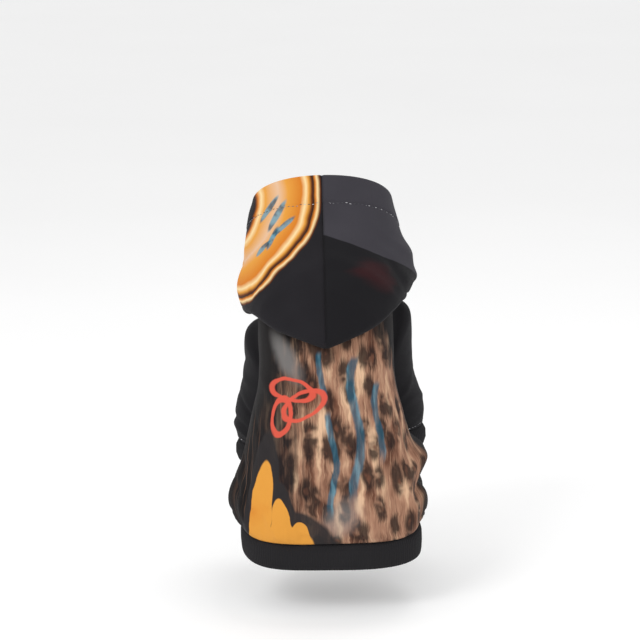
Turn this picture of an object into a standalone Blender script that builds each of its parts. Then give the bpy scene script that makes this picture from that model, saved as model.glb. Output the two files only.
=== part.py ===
"""A pet's pullover hoodie in its worn form, with the hood down and hanging over the back.

Metres, +Z up. The origin is the middle of the back of the neckline, where the hoodie hangs on the withers.
+Y is the way that the wearer faces, and +X is the wearer's right.
"""

import math
from collections import namedtuple

import bpy
from mathutils import Vector

# Cloth
CLOTH = 0.0020
RIB_CLOTH = 0.0028
SEAM_GAP = 0.0006
SEAT_GAP = 0.0003

# Body, measured over the cloth
BACK_LENGTH = 0.357
BACK_SWEEP = 0.124
NECK_WIDTH = 0.125
NECK_DEPTH = 0.108
NECK_TILT = 30.0
CHEST_WIDTH = 0.160
CHEST_DEPTH = 0.172
HIP_WIDTH = 0.217
HIP_DEPTH = 0.166
WAIST_WIDTH = 0.208
WAIST_DEPTH = 0.149
WAIST_TILT = -7.0
KEEL = 0.16
SQUARENESS = 0.90
SIDE_SEAM = 100.0

# Gathers above the waistband
GATHERS = 14
GATHER_DEPTH = 0.0016
GATHER_HEIGHT = 0.060

# Waistband
WAISTBAND_HEIGHT = 0.031
WAISTBAND_BULGE = 0.0012
WAISTBAND_TUCK = 0.0020

# Sleeves and cuffs
SLEEVE_RADIUS = 0.037
SLEEVE_END_RADIUS = 0.0305
SLEEVE_LENGTH = 0.112
SLEEVE_REACH = 0.026
CUFF_LENGTH = 0.024
CUFF_BULGE = 0.0022

# Hood
HOOD_DROP = 0.146
HOOD_CLEARANCE = 0.0009
HOOD_LOFT = 0.017
HOOD_PUFF = 0.007
EDGE_WIDTH = 0.153
EDGE_DEPTH = 0.124
EDGE_RISE = 0.020
EDGE_TILT = 36.0
THROAT_DIP = 0.012

# Mesh steps
BODY_ROWS = 22
BODY_STEP = 100.0 / 15
HOOD_STEP = 10.0
TUBE_SIDES = 24

# One row for each cross-section of the body, from the neckline to the waistband seam.
# along and sweep are shares of BACK_LENGTH and BACK_SWEEP, and give the section's point on the back.
Section = namedtuple("Section", "along sweep width depth tilt")
SECTIONS = (
    Section(0.000, 0.00, 1.000 * NECK_WIDTH, 1.00 * NECK_DEPTH, 1.00 * NECK_TILT),
    Section(0.080, 0.10, 0.850 * CHEST_WIDTH, 0.74 * CHEST_DEPTH, 0.88 * NECK_TILT),
    Section(0.180, 0.26, 0.950 * CHEST_WIDTH, 0.87 * CHEST_DEPTH, 0.78 * NECK_TILT),
    Section(0.320, 0.49, 1.000 * CHEST_WIDTH, 0.98 * CHEST_DEPTH, 0.62 * NECK_TILT),
    Section(0.500, 0.72, 1.000 * CHEST_WIDTH, 1.00 * CHEST_DEPTH, 0.38 * NECK_TILT),
    Section(0.660, 0.87, 0.840 * HIP_WIDTH, 1.03 * HIP_DEPTH, 0.12 * NECK_TILT),
    Section(0.800, 0.97, 0.945 * HIP_WIDTH, 1.01 * HIP_DEPTH, 0.30 * WAIST_TILT),
    Section(0.900, 1.00, 1.000 * HIP_WIDTH, 0.99 * HIP_DEPTH, 0.80 * WAIST_TILT),
    Section(0.965, 0.98, 0.965 * HIP_WIDTH, 0.96 * HIP_DEPTH, 0.95 * WAIST_TILT),
    Section(1.000, 0.93, 1.000 * WAIST_WIDTH, 1.00 * WAIST_DEPTH, 1.00 * WAIST_TILT),
)

# One row for each fold of the body's cloth: a ridge where depth is positive, and a crease where it is negative.
# around is in degrees from the middle of the back, and lean is the angle of its run from level.
# length and across are shares of BACK_LENGTH and depth of CHEST_WIDTH.
Fold = namedtuple("Fold", "name around along length across depth lean")
FOLDS = (
    Fold("left_flank_roll", -84, 0.900, 0.16, 0.080, 0.050, 8),
    Fold("right_flank_roll", 84, 0.920, 0.14, 0.055, 0.036, -6),
    Fold("right_flank_crease", 92, 0.835, 0.13, 0.026, -0.040, -10),
    Fold("right_upper_roll", 88, 0.765, 0.12, 0.036, 0.084, -10),
    Fold("left_pleat", -52, 0.880, 0.13, 0.018, -0.014, 78),
    Fold("left_pleat_ridge", -60, 0.860, 0.12, 0.022, 0.012, 80),
    Fold("waist_drag_left", -28, 0.760, 0.15, 0.030, 0.010, 38),
    Fold("waist_drag_right", 36, 0.740, 0.16, 0.028, 0.010, -42),
    Fold("rump_sag", 8, 0.900, 0.20, 0.032, 0.012, 3),
    Fold("under_hood_fold", 42, 0.500, 0.13, 0.026, 0.009, -30),
    Fold("under_hood_fold_left", -48, 0.540, 0.13, 0.026, 0.009, 26),
    Fold("belly_fold_high", 168, 0.560, 0.16, 0.030, 0.012, 6),
    Fold("belly_fold_low", 196, 0.760, 0.18, 0.030, 0.014, -5),
)

# One row for each direction round the neck: how far down the hood's lower fold hangs there, as a share of HOOD_DROP.
# left_extra is added on the wearer's left.
Drape = namedtuple("Drape", "around drop left_extra")
DRAPES = (
    Drape(0, 1.000, 0.00),
    Drape(18, 0.925, 0.00),
    Drape(34, 0.850, 0.01),
    Drape(52, 0.735, 0.02),
    Drape(70, 0.640, 0.05),
    Drape(90, 0.590, 0.07),
    Drape(110, 0.460, 0.05),
    Drape(130, 0.355, 0.00),
    Drape(150, 0.270, 0.00),
    Drape(180, 0.200, 0.00),
)

# One row for each soft dent of the hood's outer layer. around is signed, and height is the share of the way up it.
# span is in degrees, reach is a share of the way up, and depth is a share of HOOD_LOFT.
Dent = namedtuple("Dent", "name around height span reach depth")
DENTS = (
    Dent("left_notch", -88, 0.46, 26, 0.06, -0.30),
    Dent("left_roll", -92, 0.18, 34, 0.13, 0.16),
    Dent("right_shoulder", 86, 0.40, 26, 0.13, 0.46),
    Dent("right_roll", 92, 0.17, 30, 0.12, 0.50),
    Dent("back_slack", 22, 0.30, 24, 0.12, 0.30),
    Dent("back_slack_left", -26, 0.36, 22, 0.11, 0.30),
    Dent("nape_hollow", -12, 0.72, 34, 0.14, -0.28),
)

# One row for each sleeve: where its centreline leaves the body, and how far out its end hangs.
Arm = namedtuple("Arm", "word side along around spread")
ARMS = (
    Arm("left", -1, 0.380, 125, 0.011),
    Arm("right", 1, 0.332, 115, 0.013),
)

# The sleeve's radius at shares of the way from inside the armhole to the cuff, as shares of SLEEVE_RADIUS.
Girth = namedtuple("Girth", "along radius")
SLEEVE_GIRTHS = (
    Girth(0.00, 0.72),
    Girth(0.22, 0.98),
    Girth(0.45, 1.00),
    Girth(0.70, 0.97),
    Girth(0.88, 0.93),
    Girth(1.00, SLEEVE_END_RADIUS / SLEEVE_RADIUS),
)


def between(rows, key, column, at):
    """The named column at a value of the key column, on a smooth curve through the rows."""
    spots = [getattr(row, key) for row in rows]
    values = [getattr(row, column) for row in rows]
    at = min(max(at, spots[0]), spots[-1])
    i = max(k for k in range(len(rows) - 1) if spots[k] <= at)

    def slope(k):
        low, high = max(k - 1, 0), min(k + 1, len(rows) - 1)
        return (values[high] - values[low]) / (spots[high] - spots[low])

    step = spots[i + 1] - spots[i]
    t = (at - spots[i]) / step
    return (
        values[i] * (1 + 2 * t) * (1 - t) ** 2
        + slope(i) * step * t * (1 - t) ** 2
        + values[i + 1] * t * t * (3 - 2 * t)
        + slope(i + 1) * step * t * t * (t - 1)
    )


def eased(low, high, at):
    """0 below low, 1 above high and smooth in between."""
    t = min(max((at - low) / (high - low), 0.0), 1.0)
    return t * t * (3 - 2 * t)


def rounded(value):
    """A sine or cosine, squared off a little so that an oval has fuller corners."""
    return math.copysign(abs(value) ** SQUARENESS, value)


def wrapped(angle):
    """An angle in degrees brought to the range from -180 to 180."""
    return (angle + 180.0) % 360.0 - 180.0


def fold_height(along, around):
    """How far the cloth stands out of its plain section, from the folds and the gathers."""
    height = 0.0
    for fold in FOLDS:
        level = math.radians(wrapped(around - fold.around)) * CHEST_WIDTH / 2
        down = (along - fold.along) * BACK_LENGTH
        lean = math.radians(fold.lean)
        run = level * math.cos(lean) + down * math.sin(lean)
        off = down * math.cos(lean) - level * math.sin(lean)
        reach = (run / (fold.length * BACK_LENGTH)) ** 2 + (off / (fold.across * BACK_LENGTH)) ** 2
        height += fold.depth * CHEST_WIDTH * math.exp(-reach)
    share = GATHER_HEIGHT / BACK_LENGTH
    gather = eased(1 - 2 * share, 1 - share, along)
    height += gather * GATHER_DEPTH * math.cos(math.radians(around) * GATHERS)
    return height * eased(0.0, 0.06, along) * (1 - eased(0.955, 1.0, along))


def oval_point(along, around, drop=0.0, spread=0.0):
    """A point of the plain section: drop moves it down past the last section, and spread makes the oval wider."""
    section = [between(SECTIONS, "along", column, along) for column in ("sweep", "width", "depth", "tilt")]
    sweep, width, depth, tilt = section
    angle, lean = math.radians(around), math.radians(tilt)
    keel = 1 - KEEL * (1 - math.cos(angle)) / 2
    side = (width / 2 + spread) * rounded(math.sin(angle)) * keel
    forward = depth / 2 - (depth / 2 + spread) * rounded(math.cos(angle))
    back = Vector((0.0, -BACK_SWEEP * sweep, -BACK_LENGTH * along))
    down = Vector((0.0, -math.sin(lean), -math.cos(lean)))
    return back + Vector((side, forward * math.cos(lean), -forward * math.sin(lean))) + down * drop


def direction_out(point_at, along, around):
    """The outward normal of a surface that is given as a function of along and around."""
    small, turn = 0.004, 1.0
    down = point_at(min(along + small, 1.0), around) - point_at(max(along - small, 0.0), around)
    level = point_at(along, around + turn) - point_at(along, around - turn)
    return down.cross(level).normalized()


def body_point(along, around, out=0.0):
    """A point of the body's outer face, or out from it: along is 0 at the neckline and 1 at the waistband seam."""
    normal = direction_out(oval_point, along, around)
    return oval_point(along, around) + normal * (fold_height(along, around) + out)


def trimmed(along, around, side):
    """The angle half a seam gap past around, on the side given by the sign of side."""
    arc = (oval_point(along, around + 1.0) - oval_point(along, around - 1.0)).length / 2
    return around + math.copysign(SEAM_GAP / 2 / arc, side)


def loft(name, rings, closed=False, capped=False):
    """An object with one row of vertices for each ring, joined ring to ring by four-sided faces."""
    count = len(rings[0])
    faces = []
    for r in range(len(rings) - 1):
        for c in range(count if closed else count - 1):
            following = (c + 1) % count
            faces.append(
                (r * count + c, (r + 1) * count + c, (r + 1) * count + following, r * count + following)
            )
    if capped:
        last = (len(rings) - 1) * count
        faces.append(tuple(range(count)))
        faces.append(tuple(last + c for c in reversed(range(count))))
    mesh = bpy.data.meshes.new(name)
    mesh.from_pydata([point for ring in rings for point in ring], [], faces)
    mesh.update()
    return bpy.data.objects.new(name, mesh)


def loft_sheet(name, grid, thickness):
    """A sheet of cloth with the grid as its outer face. The grid's end columns only steer the edges beside them."""
    last_row, columns = len(grid) - 1, len(grid[0]) - 2
    outer = [row[c] for row in grid for c in range(1, columns + 1)]
    inner = []
    for r, row in enumerate(grid):
        above, below = grid[max(r - 1, 0)], grid[min(r + 1, last_row)]
        for c in range(1, columns + 1):
            normal = (below[c] - above[c]).cross(row[c + 1] - row[c - 1]).normalized()
            inner.append(row[c] - normal * thickness)

    def corner(r, c, layer=0):
        return layer * len(outer) + r * columns + c

    faces = []
    for r in range(last_row):
        for c in range(columns - 1):
            faces.append((corner(r, c), corner(r + 1, c), corner(r + 1, c + 1), corner(r, c + 1)))
            faces.append((corner(r, c, 1), corner(r, c + 1, 1), corner(r + 1, c + 1, 1), corner(r + 1, c, 1)))
    for c in range(columns - 1):
        faces.append((corner(0, c), corner(0, c + 1), corner(0, c + 1, 1), corner(0, c, 1)))
        low = last_row
        faces.append((corner(low, c + 1), corner(low, c), corner(low, c, 1), corner(low, c + 1, 1)))
    for r in range(last_row):
        faces.append((corner(r + 1, 0), corner(r, 0), corner(r, 0, 1), corner(r + 1, 0, 1)))
        end = columns - 1
        faces.append((corner(r, end), corner(r + 1, end), corner(r + 1, end, 1), corner(r, end, 1)))
    mesh = bpy.data.meshes.new(name)
    mesh.from_pydata(outer + inner, [], faces)
    mesh.update()
    return bpy.data.objects.new(name, mesh)


def as_cloth(obj, thickness):
    """Thickens an open surface inwards, behind its outward faces."""
    wall = obj.modifiers.new("cloth", "SOLIDIFY")
    wall.thickness = thickness
    wall.offset = -1.0
    wall.use_even_offset = True
    return obj


def cut_by(obj, cutter):
    """Takes the cutter's space out of the object."""
    cut = obj.modifiers.new("cut by " + cutter.name, "BOOLEAN")
    cut.operation = "DIFFERENCE"
    cut.object = cutter
    cut.solver = "EXACT"


def make_material(name, colour, roughness):
    material = bpy.data.materials.new(name)
    material.use_nodes = True
    shader = material.node_tree.nodes["Principled BSDF"]
    shader.inputs["Base Color"].default_value = (*colour, 1.0)
    shader.inputs["Roughness"].default_value = roughness
    shader.inputs["Metallic"].default_value = 0.0
    return material


def add_part(obj, collection, material):
    obj.data.materials.append(material)
    obj.data.shade_smooth()
    collection.objects.link(obj)


def add_cutter(obj, collection):
    obj.hide_render = True
    obj.display_type = "WIRE"
    collection.objects.link(obj)


def body_angles(start, end):
    """Evenly spaced angles round the body, about BODY_STEP degrees apart."""
    count = round((end - start) / BODY_STEP)
    return [start + (end - start) * c / count for c in range(count + 1)]


def make_panel(name, start, end):
    """A body panel from one side seam to the other, each edge held back by half a seam gap."""
    angles = body_angles(start, end)
    grid = []
    for r in range(BODY_ROWS + 1):
        along = r / BODY_ROWS
        first, last = trimmed(along, start, 1), trimmed(along, end, -1)
        ring = [first - BODY_STEP, first, *angles[1:-1], last, last + BODY_STEP]
        grid.append([body_point(along, angle) for angle in ring])
    return loft_sheet(name, grid, CLOTH)


def make_body_blank():
    """The space that the body fills, grown by the gap that a sleeve's root keeps to it."""
    angles = body_angles(-SIDE_SEAM, SIDE_SEAM) + body_angles(SIDE_SEAM, 360 - SIDE_SEAM)[1:-1]
    rings = [
        [body_point(r / BODY_ROWS, angle, SEAT_GAP) for angle in angles] for r in range(BODY_ROWS + 1)
    ]
    return loft("body_blank", rings, closed=True, capped=True)


def make_waistband():
    """A ring of double rib cloth that carries on from the body's last section."""
    profile = (
        (SEAT_GAP, 0.0),
        (0.20 * WAISTBAND_HEIGHT, 0.8 * WAISTBAND_BULGE),
        (0.50 * WAISTBAND_HEIGHT, WAISTBAND_BULGE),
        (0.80 * WAISTBAND_HEIGHT, -0.3 * WAISTBAND_TUCK),
        (WAISTBAND_HEIGHT, -WAISTBAND_TUCK),
    )
    angles = body_angles(-SIDE_SEAM, SIDE_SEAM) + body_angles(SIDE_SEAM, 360 - SIDE_SEAM)[1:-1]
    rings = [[oval_point(1.0, angle, drop, spread) for angle in angles] for drop, spread in profile]
    return as_cloth(loft("waistband", rings, closed=True), RIB_CLOTH)


def sleeve_line(arm):
    """The four control points of the sleeve's centreline, from inside the armhole to the cuff."""
    armhole = oval_point(arm.along, arm.side * arm.around)
    end = armhole + Vector((arm.side * arm.spread, SLEEVE_REACH, -SLEEVE_LENGTH))
    centre = (oval_point(arm.along, 0.0) + oval_point(arm.along, 180.0)) / 2
    inside = armhole.lerp(centre, 0.62) + Vector((0.0, 0.0, 0.35 * SLEEVE_LENGTH))
    hang = Vector((arm.side * 0.03, 0.10, -1.0)).normalized()
    return inside, armhole.lerp(centre, 0.10), end - hang * SLEEVE_LENGTH * 0.40, end


def on_curve(points, t):
    """The place and the direction at a share t of a cubic curve."""
    a, b, c, d = points
    place = a * (1 - t) ** 3 + b * 3 * t * (1 - t) ** 2 + c * 3 * t * t * (1 - t) + d * t**3
    heading = (b - a) * (1 - t) ** 2 + (c - b) * 2 * t * (1 - t) + (d - c) * t * t
    return place, heading.normalized()


def ring_round(centre, heading, radius):
    """A ring of points square to heading, set out so that a tube of them has its faces pointing out."""
    level = Vector((1.0, 0.0, 0.0))
    first = (level - heading * level.dot(heading)).normalized()
    second = heading.cross(first)
    turns = [2 * math.pi * s / TUBE_SIDES for s in range(TUBE_SIDES)]
    return [centre + (first * math.cos(a) + second * math.sin(a)) * radius for a in turns]


def make_sleeve_tube(name, arm, inset, capped):
    """The sleeve's outer face where inset is 0, or the space inside it where inset is the cloth's thickness."""
    line = sleeve_line(arm)
    rings = []
    steps = 11
    for s in range(steps + 1):
        t = s / steps
        radius = SLEEVE_RADIUS * between(SLEEVE_GIRTHS, "along", "radius", t)
        rings.append(ring_round(*on_curve(line, t), radius - inset))
    return loft(name, [ring[::-1] for ring in rings], closed=True, capped=capped)


def make_cuff(name, arm):
    """A rib ring that meets the sleeve's end face to face."""
    end, heading = on_curve(sleeve_line(arm), 1.0)
    profile = (
        (SEAT_GAP, 0.0),
        (0.30 * CUFF_LENGTH, CUFF_BULGE),
        (0.65 * CUFF_LENGTH, CUFF_BULGE),
        (CUFF_LENGTH, -0.4 * CUFF_BULGE),
    )
    rings = [ring_round(end + heading * drop, heading, SLEEVE_END_RADIUS + out)[::-1] for drop, out in profile]
    return as_cloth(loft(name, rings, closed=True), RIB_CLOTH)


def edge_point(around):
    """A point of the hood's opening edge, which lies round the neck above the neckline."""
    angle, lean = math.radians(around), math.radians(EDGE_TILT)
    up = Vector((0.0, math.sin(lean), math.cos(lean)))
    forward = Vector((0.0, math.cos(lean), -math.sin(lean)))
    centre = forward * NECK_DEPTH / 2
    dip = THROAT_DIP * eased(125.0, 180.0, abs(wrapped(around)))
    side = Vector((EDGE_WIDTH / 2 * math.sin(angle), 0.0, 0.0))
    return centre + side - forward * (EDGE_DEPTH / 2 * math.cos(angle)) + up * (EDGE_RISE - dip)


def hood_drop(around):
    """How far down the body the hood's lower fold hangs, as a share of BACK_LENGTH."""
    turned = abs(wrapped(around))
    drop = between(DRAPES, "around", "drop", turned)
    if wrapped(around) < 0:
        drop += between(DRAPES, "around", "left_extra", turned)
    return drop * HOOD_DROP / BACK_LENGTH


def dent_depth(around, height):
    """How far the outer layer stands out at this height, from the table of dents."""
    total = 0.0
    for dent in DENTS:
        reach = (wrapped(around - dent.around) / dent.span) ** 2 + ((height - dent.height) / dent.reach) ** 2
        total += dent.depth * HOOD_LOFT * math.exp(-reach)
    return total


def hood_profile(around):
    """From the neckline down the layer that lies on the body, round the lower fold and up to the edge."""
    fold_at = hood_drop(around)
    layer = (0.0, 0.12, 0.32, 0.56, 0.80, 1.0)
    points = [body_point(fold_at * share, around, HOOD_CLEARANCE) for share in layer]
    out = direction_out(oval_point, fold_at, around)
    down = (oval_point(fold_at + 0.01, around) - oval_point(fold_at - 0.01, around)).normalized()
    radius = HOOD_LOFT / 2
    centre = points[-1] + out * radius
    for turn in (45, 90, 135, 180):
        angle = math.radians(turn)
        points.append(centre - out * radius * math.cos(angle) + down * radius * math.sin(angle))
    start, end = points[-1], edge_point(around)
    rise = (start - end).length
    lifted = start - down * rise * 0.33 + out * HOOD_PUFF
    collar = end + (start - end).normalized() * rise * 0.30 + out * HOOD_PUFF * 0.6
    for share in (0.12, 0.25, 0.38, 0.52, 0.68, 0.84, 1.0):
        place, _ = on_curve((start, lifted, collar, end), share)
        fade = 1 - eased(0.8, 1.0, share)
        points.append(place + out * dent_depth(around, share) * fade)
    return points


def make_hood_half(name, side):
    """One of the hood's two panels, from the seam at the middle of the back round to the throat."""
    count = round(180 / HOOD_STEP)
    angles = [side * 180.0 * c / count for c in range(count + 1)]
    angles[0] = trimmed(0.0, 0.0, side)
    angles[-1] = trimmed(0.0, side * 180.0, -side)
    angles = [angles[0] - side * HOOD_STEP, *angles, angles[-1] + side * HOOD_STEP]
    columns = [hood_profile(angle) for angle in angles]
    if side > 0:
        columns.reverse()
    return loft_sheet(name, list(zip(*columns)), CLOTH)


def main():
    for obj in list(bpy.data.objects):
        bpy.data.objects.remove(obj, do_unlink=True)
    hoodie = bpy.data.collections.new("hoodie")
    cutters = bpy.data.collections.new("cutters")
    for collection in (hoodie, cutters):
        bpy.context.scene.collection.children.link(collection)

    printed = make_material("printed_cloth", (0.045, 0.042, 0.046), 0.85)
    sleeve_cloth = make_material("sleeve_cloth", (0.022, 0.022, 0.025), 0.85)
    hood_cloth = make_material("hood_cloth", (0.055, 0.052, 0.058), 0.85)
    rib = make_material("rib", (0.018, 0.018, 0.019), 0.9)

    back = make_panel("back_panel", -SIDE_SEAM, SIDE_SEAM)
    belly = make_panel("belly_panel", SIDE_SEAM, 360 - SIDE_SEAM)
    blank = make_body_blank()
    add_cutter(blank, cutters)
    for arm in ARMS:
        sleeve = as_cloth(make_sleeve_tube("sleeve_" + arm.word, arm, 0.0, False), CLOTH)
        bore = make_sleeve_tube("armhole_" + arm.word, arm, CLOTH, True)
        add_cutter(bore, cutters)
        cut_by(sleeve, blank)
        for panel in (back, belly):
            cut_by(panel, bore)
        add_part(sleeve, hoodie, sleeve_cloth)
        add_part(make_cuff("cuff_" + arm.word, arm), hoodie, rib)
        add_part(make_hood_half("hood_" + arm.word, arm.side), hoodie, hood_cloth)
    add_part(back, hoodie, printed)
    add_part(belly, hoodie, printed)
    add_part(make_waistband(), hoodie, rib)


main()
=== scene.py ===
# %% [markdown]
# # A dog hoodie with its hood down
# This lesson dresses the plain solids of a pet's pullover hoodie. Every cloth part of the real thing starts as a
# flat cut, so every part here starts as a flat grid. A function lays the grid over a plain body form and gives it
# its folds, and a modifier then gives it the thickness of sweatshirt knit.
#
# All lengths are in metres. The origin is the middle of the back of the neckline, +Z is up, and the back of the
# hoodie faces -Y. Two numbers place a point on the body form: along runs from 0 at the neckline to 1 at the
# waistband seam, and around is in degrees from the middle of the back, positive towards +X, the hoodie's right.

# %% Load the frame
import math
from collections import namedtuple

import bmesh
import bpy
import numpy as np
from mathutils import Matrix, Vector, noise
from mathutils.bvhtree import BVHTree


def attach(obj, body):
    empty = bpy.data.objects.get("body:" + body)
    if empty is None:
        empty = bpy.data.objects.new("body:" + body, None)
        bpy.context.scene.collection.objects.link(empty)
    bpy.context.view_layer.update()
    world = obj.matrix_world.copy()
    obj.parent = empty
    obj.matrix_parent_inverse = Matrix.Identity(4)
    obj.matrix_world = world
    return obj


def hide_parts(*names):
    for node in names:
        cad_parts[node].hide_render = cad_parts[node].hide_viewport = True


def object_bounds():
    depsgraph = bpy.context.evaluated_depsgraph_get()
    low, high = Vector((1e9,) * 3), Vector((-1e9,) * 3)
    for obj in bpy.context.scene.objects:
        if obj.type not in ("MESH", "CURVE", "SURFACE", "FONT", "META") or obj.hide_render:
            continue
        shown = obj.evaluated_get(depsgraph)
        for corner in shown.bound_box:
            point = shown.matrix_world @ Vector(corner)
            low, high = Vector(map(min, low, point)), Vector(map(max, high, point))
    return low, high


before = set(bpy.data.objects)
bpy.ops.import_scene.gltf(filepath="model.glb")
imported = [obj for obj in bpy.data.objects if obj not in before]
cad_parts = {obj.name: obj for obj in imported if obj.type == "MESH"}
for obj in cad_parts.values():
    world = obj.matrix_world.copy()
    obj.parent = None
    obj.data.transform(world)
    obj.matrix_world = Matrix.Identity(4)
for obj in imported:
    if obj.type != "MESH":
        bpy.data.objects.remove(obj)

cad_box = [list(corner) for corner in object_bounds()]
bpy.ops.object.select_all(action="DESELECT")
print("solid box:", cad_box)

# %% [markdown]
# ## Sizes
# The hoodie's sizes are those of its solids. The body is a row of ovals down a curved back. Each oval is a little
# squared off, and narrower at the chest than at the back. Between the rows of a table, a smooth curve gives the
# sizes. Near the hem the cloth fills out at the back's two corners, a little more at the right one.

# %% Sizes of the hoodie
BACK_LENGTH, BACK_SWEEP = 0.357, 0.124
NECK_WIDTH, NECK_DEPTH, NECK_TILT = 0.125, 0.108, 30.0
CHEST_WIDTH, CHEST_DEPTH = 0.160, 0.172
HIP_WIDTH, HIP_DEPTH = 0.217, 0.166
WAIST_WIDTH, WAIST_DEPTH, WAIST_TILT = 0.208, 0.149, -7.0
KEEL, SQUARENESS, SIDE_SEAM = 0.16, 0.90, 100.0
HEM_FULLNESS, HEM_FULL_FROM, HEM_FULL_RIGHT = 0.008, 0.80, 0.35
WAISTBAND_HEIGHT, WAISTBAND_BULGE, WAISTBAND_TUCK = 0.031, 0.0012, 0.0020
SLEEVE_RADIUS, SLEEVE_END_RADIUS, SLEEVE_LENGTH, SLEEVE_REACH = 0.037, 0.0305, 0.112, 0.026
CUFF_LENGTH, CUFF_BULGE = 0.024, 0.0022
HOOD_DROP, HOOD_CLEARANCE, HOOD_LOFT, HOOD_PUFF = 0.146, 0.0009, 0.017, 0.007
EDGE_WIDTH, EDGE_DEPTH, EDGE_RISE, EDGE_TILT, THROAT_DIP = 0.153, 0.124, 0.020, 36.0, 0.012
EDGE_SQUARENESS = 0.93
CLOTH, RIB_CLOTH = 0.0020, 0.0028

Section = namedtuple("Section", "along sweep width depth tilt")
SECTIONS = (
    Section(0.000, 0.00, 1.000 * NECK_WIDTH, 1.00 * NECK_DEPTH, 1.00 * NECK_TILT),
    Section(0.080, 0.10, 0.850 * CHEST_WIDTH, 0.74 * CHEST_DEPTH, 0.88 * NECK_TILT),
    Section(0.180, 0.26, 0.950 * CHEST_WIDTH, 0.87 * CHEST_DEPTH, 0.78 * NECK_TILT),
    Section(0.320, 0.49, 1.000 * CHEST_WIDTH, 0.98 * CHEST_DEPTH, 0.62 * NECK_TILT),
    Section(0.500, 0.72, 1.000 * CHEST_WIDTH, 1.00 * CHEST_DEPTH, 0.38 * NECK_TILT),
    Section(0.660, 0.87, 0.840 * HIP_WIDTH, 1.03 * HIP_DEPTH, 0.12 * NECK_TILT),
    Section(0.800, 0.97, 0.945 * HIP_WIDTH, 1.01 * HIP_DEPTH, 0.30 * WAIST_TILT),
    Section(0.900, 1.00, 1.000 * HIP_WIDTH, 0.99 * HIP_DEPTH, 0.80 * WAIST_TILT),
    Section(0.965, 0.98, 0.965 * HIP_WIDTH, 0.96 * HIP_DEPTH, 0.95 * WAIST_TILT),
    Section(1.000, 0.93, 1.000 * WAIST_WIDTH, 1.00 * WAIST_DEPTH, 1.00 * WAIST_TILT),
)


def column(rows, name):
    return np.array([getattr(row, name) for row in rows], dtype=float)


def smooth_curve(rows, key, name, at):
    """The named column at places of the key column, on a smooth curve through the rows."""
    spots, values = column(rows, key), column(rows, name)
    at = np.clip(at, spots[0], spots[-1])
    low = np.maximum(np.arange(len(rows)) - 1, 0)
    high = np.minimum(np.arange(len(rows)) + 1, len(rows) - 1)
    slopes = (values[high] - values[low]) / (spots[high] - spots[low])
    i = np.clip(np.searchsorted(spots, at, side="right") - 1, 0, len(rows) - 2)
    step = spots[i + 1] - spots[i]
    t = (at - spots[i]) / step
    bend = slopes[i] * step * t * (1 - t) ** 2 + slopes[i + 1] * step * t * t * (t - 1)
    return values[i] * (1 + 2 * t) * (1 - t) ** 2 + values[i + 1] * t * t * (3 - 2 * t) + bend


def eased(low, high, at):
    """0 below low, 1 above high and smooth in between."""
    t = np.clip((at - low) / (high - low), 0.0, 1.0)
    return t * t * (3 - 2 * t)


def unit(vectors):
    return vectors / np.linalg.norm(vectors, axis=-1, keepdims=True)


def body_form(along, around, drop=0.0, spread=0.0):
    """Points of the plain body form. drop goes down past the last oval, and spread widens it."""
    along, around = np.broadcast_arrays(np.asarray(along, float), np.asarray(around, float))
    sweep, width, depth, tilt = (smooth_curve(SECTIONS, "along", c, along) for c in Section._fields[1:])
    angle, lean = np.radians(around), np.radians(tilt)
    sine, cosine = np.sin(angle), np.cos(angle)
    keel = 1 - KEEL * (1 - cosine) / 2
    full = HEM_FULLNESS * eased(HEM_FULL_FROM, 1.0, along) * np.sin(2 * angle) ** 2 * (1 + cosine) / 2
    spread = spread + full * (1 + HEM_FULL_RIGHT * sine)
    side = (width / 2 + spread) * np.sign(sine) * np.abs(sine) ** SQUARENESS * keel
    forward = depth / 2 - (depth / 2 + spread) * np.sign(cosine) * np.abs(cosine) ** SQUARENESS
    y = -BACK_SWEEP * sweep + forward * np.cos(lean) - np.sin(lean) * drop
    z = -BACK_LENGTH * along - forward * np.sin(lean) - np.cos(lean) * drop
    return np.stack(np.broadcast_arrays(side, y, z), axis=-1)


def body_normal(along, around):
    """Outward directions of the plain body form."""
    small, turn = 0.004, 1.0
    down = body_form(np.minimum(along + small, 1.0), around) - body_form(np.maximum(along - small, 0.0), around)
    level = body_form(along, around + turn) - body_form(along, around - turn)
    return unit(np.cross(down, level))


print("hem width of the form:", round(float(2 * body_form(1.0, 90.0)[0]), 3))

# %% [markdown]
# ## Folds of the body's cloth
# As worn, the cloth rolls over the waistband at the flanks, drags in soft slanting folds from the armholes to the
# hem, and gathers above the ribbing. Each fold is one row of a table: a long soft ridge, or a crease where its
# depth is negative. A row's sizes are shares of the back's length and the chest's width, and its angles are in
# degrees. Cloth simulation or sculpting by hand would work too, but a table is easy to change and to compare with
# the real thing.

# %% Fold table and fold heights
Fold = namedtuple("Fold", "around along length across depth lean")
FLANK_FOLDS = (
    Fold(-84, 0.913, 0.16, 0.080, 0.050, 8),
    Fold(84, 0.940, 0.14, 0.055, 0.036, -6),
    Fold(92, 0.856, 0.13, 0.026, -0.040, -10),
    Fold(88, 0.786, 0.12, 0.036, 0.084, -10),
    Fold(-52, 0.880, 0.13, 0.018, -0.014, 78),
    Fold(-60, 0.860, 0.12, 0.022, 0.012, 80),
    Fold(-28, 0.760, 0.15, 0.030, 0.010, 38),
    Fold(36, 0.740, 0.16, 0.028, 0.010, -42),
    Fold(8, 0.900, 0.20, 0.032, 0.012, 3),
    Fold(42, 0.500, 0.13, 0.026, 0.009, -30),
    Fold(-48, 0.540, 0.13, 0.026, 0.009, 26),
    Fold(168, 0.560, 0.16, 0.030, 0.012, 6),
    Fold(196, 0.760, 0.18, 0.030, 0.014, -5),
)
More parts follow.
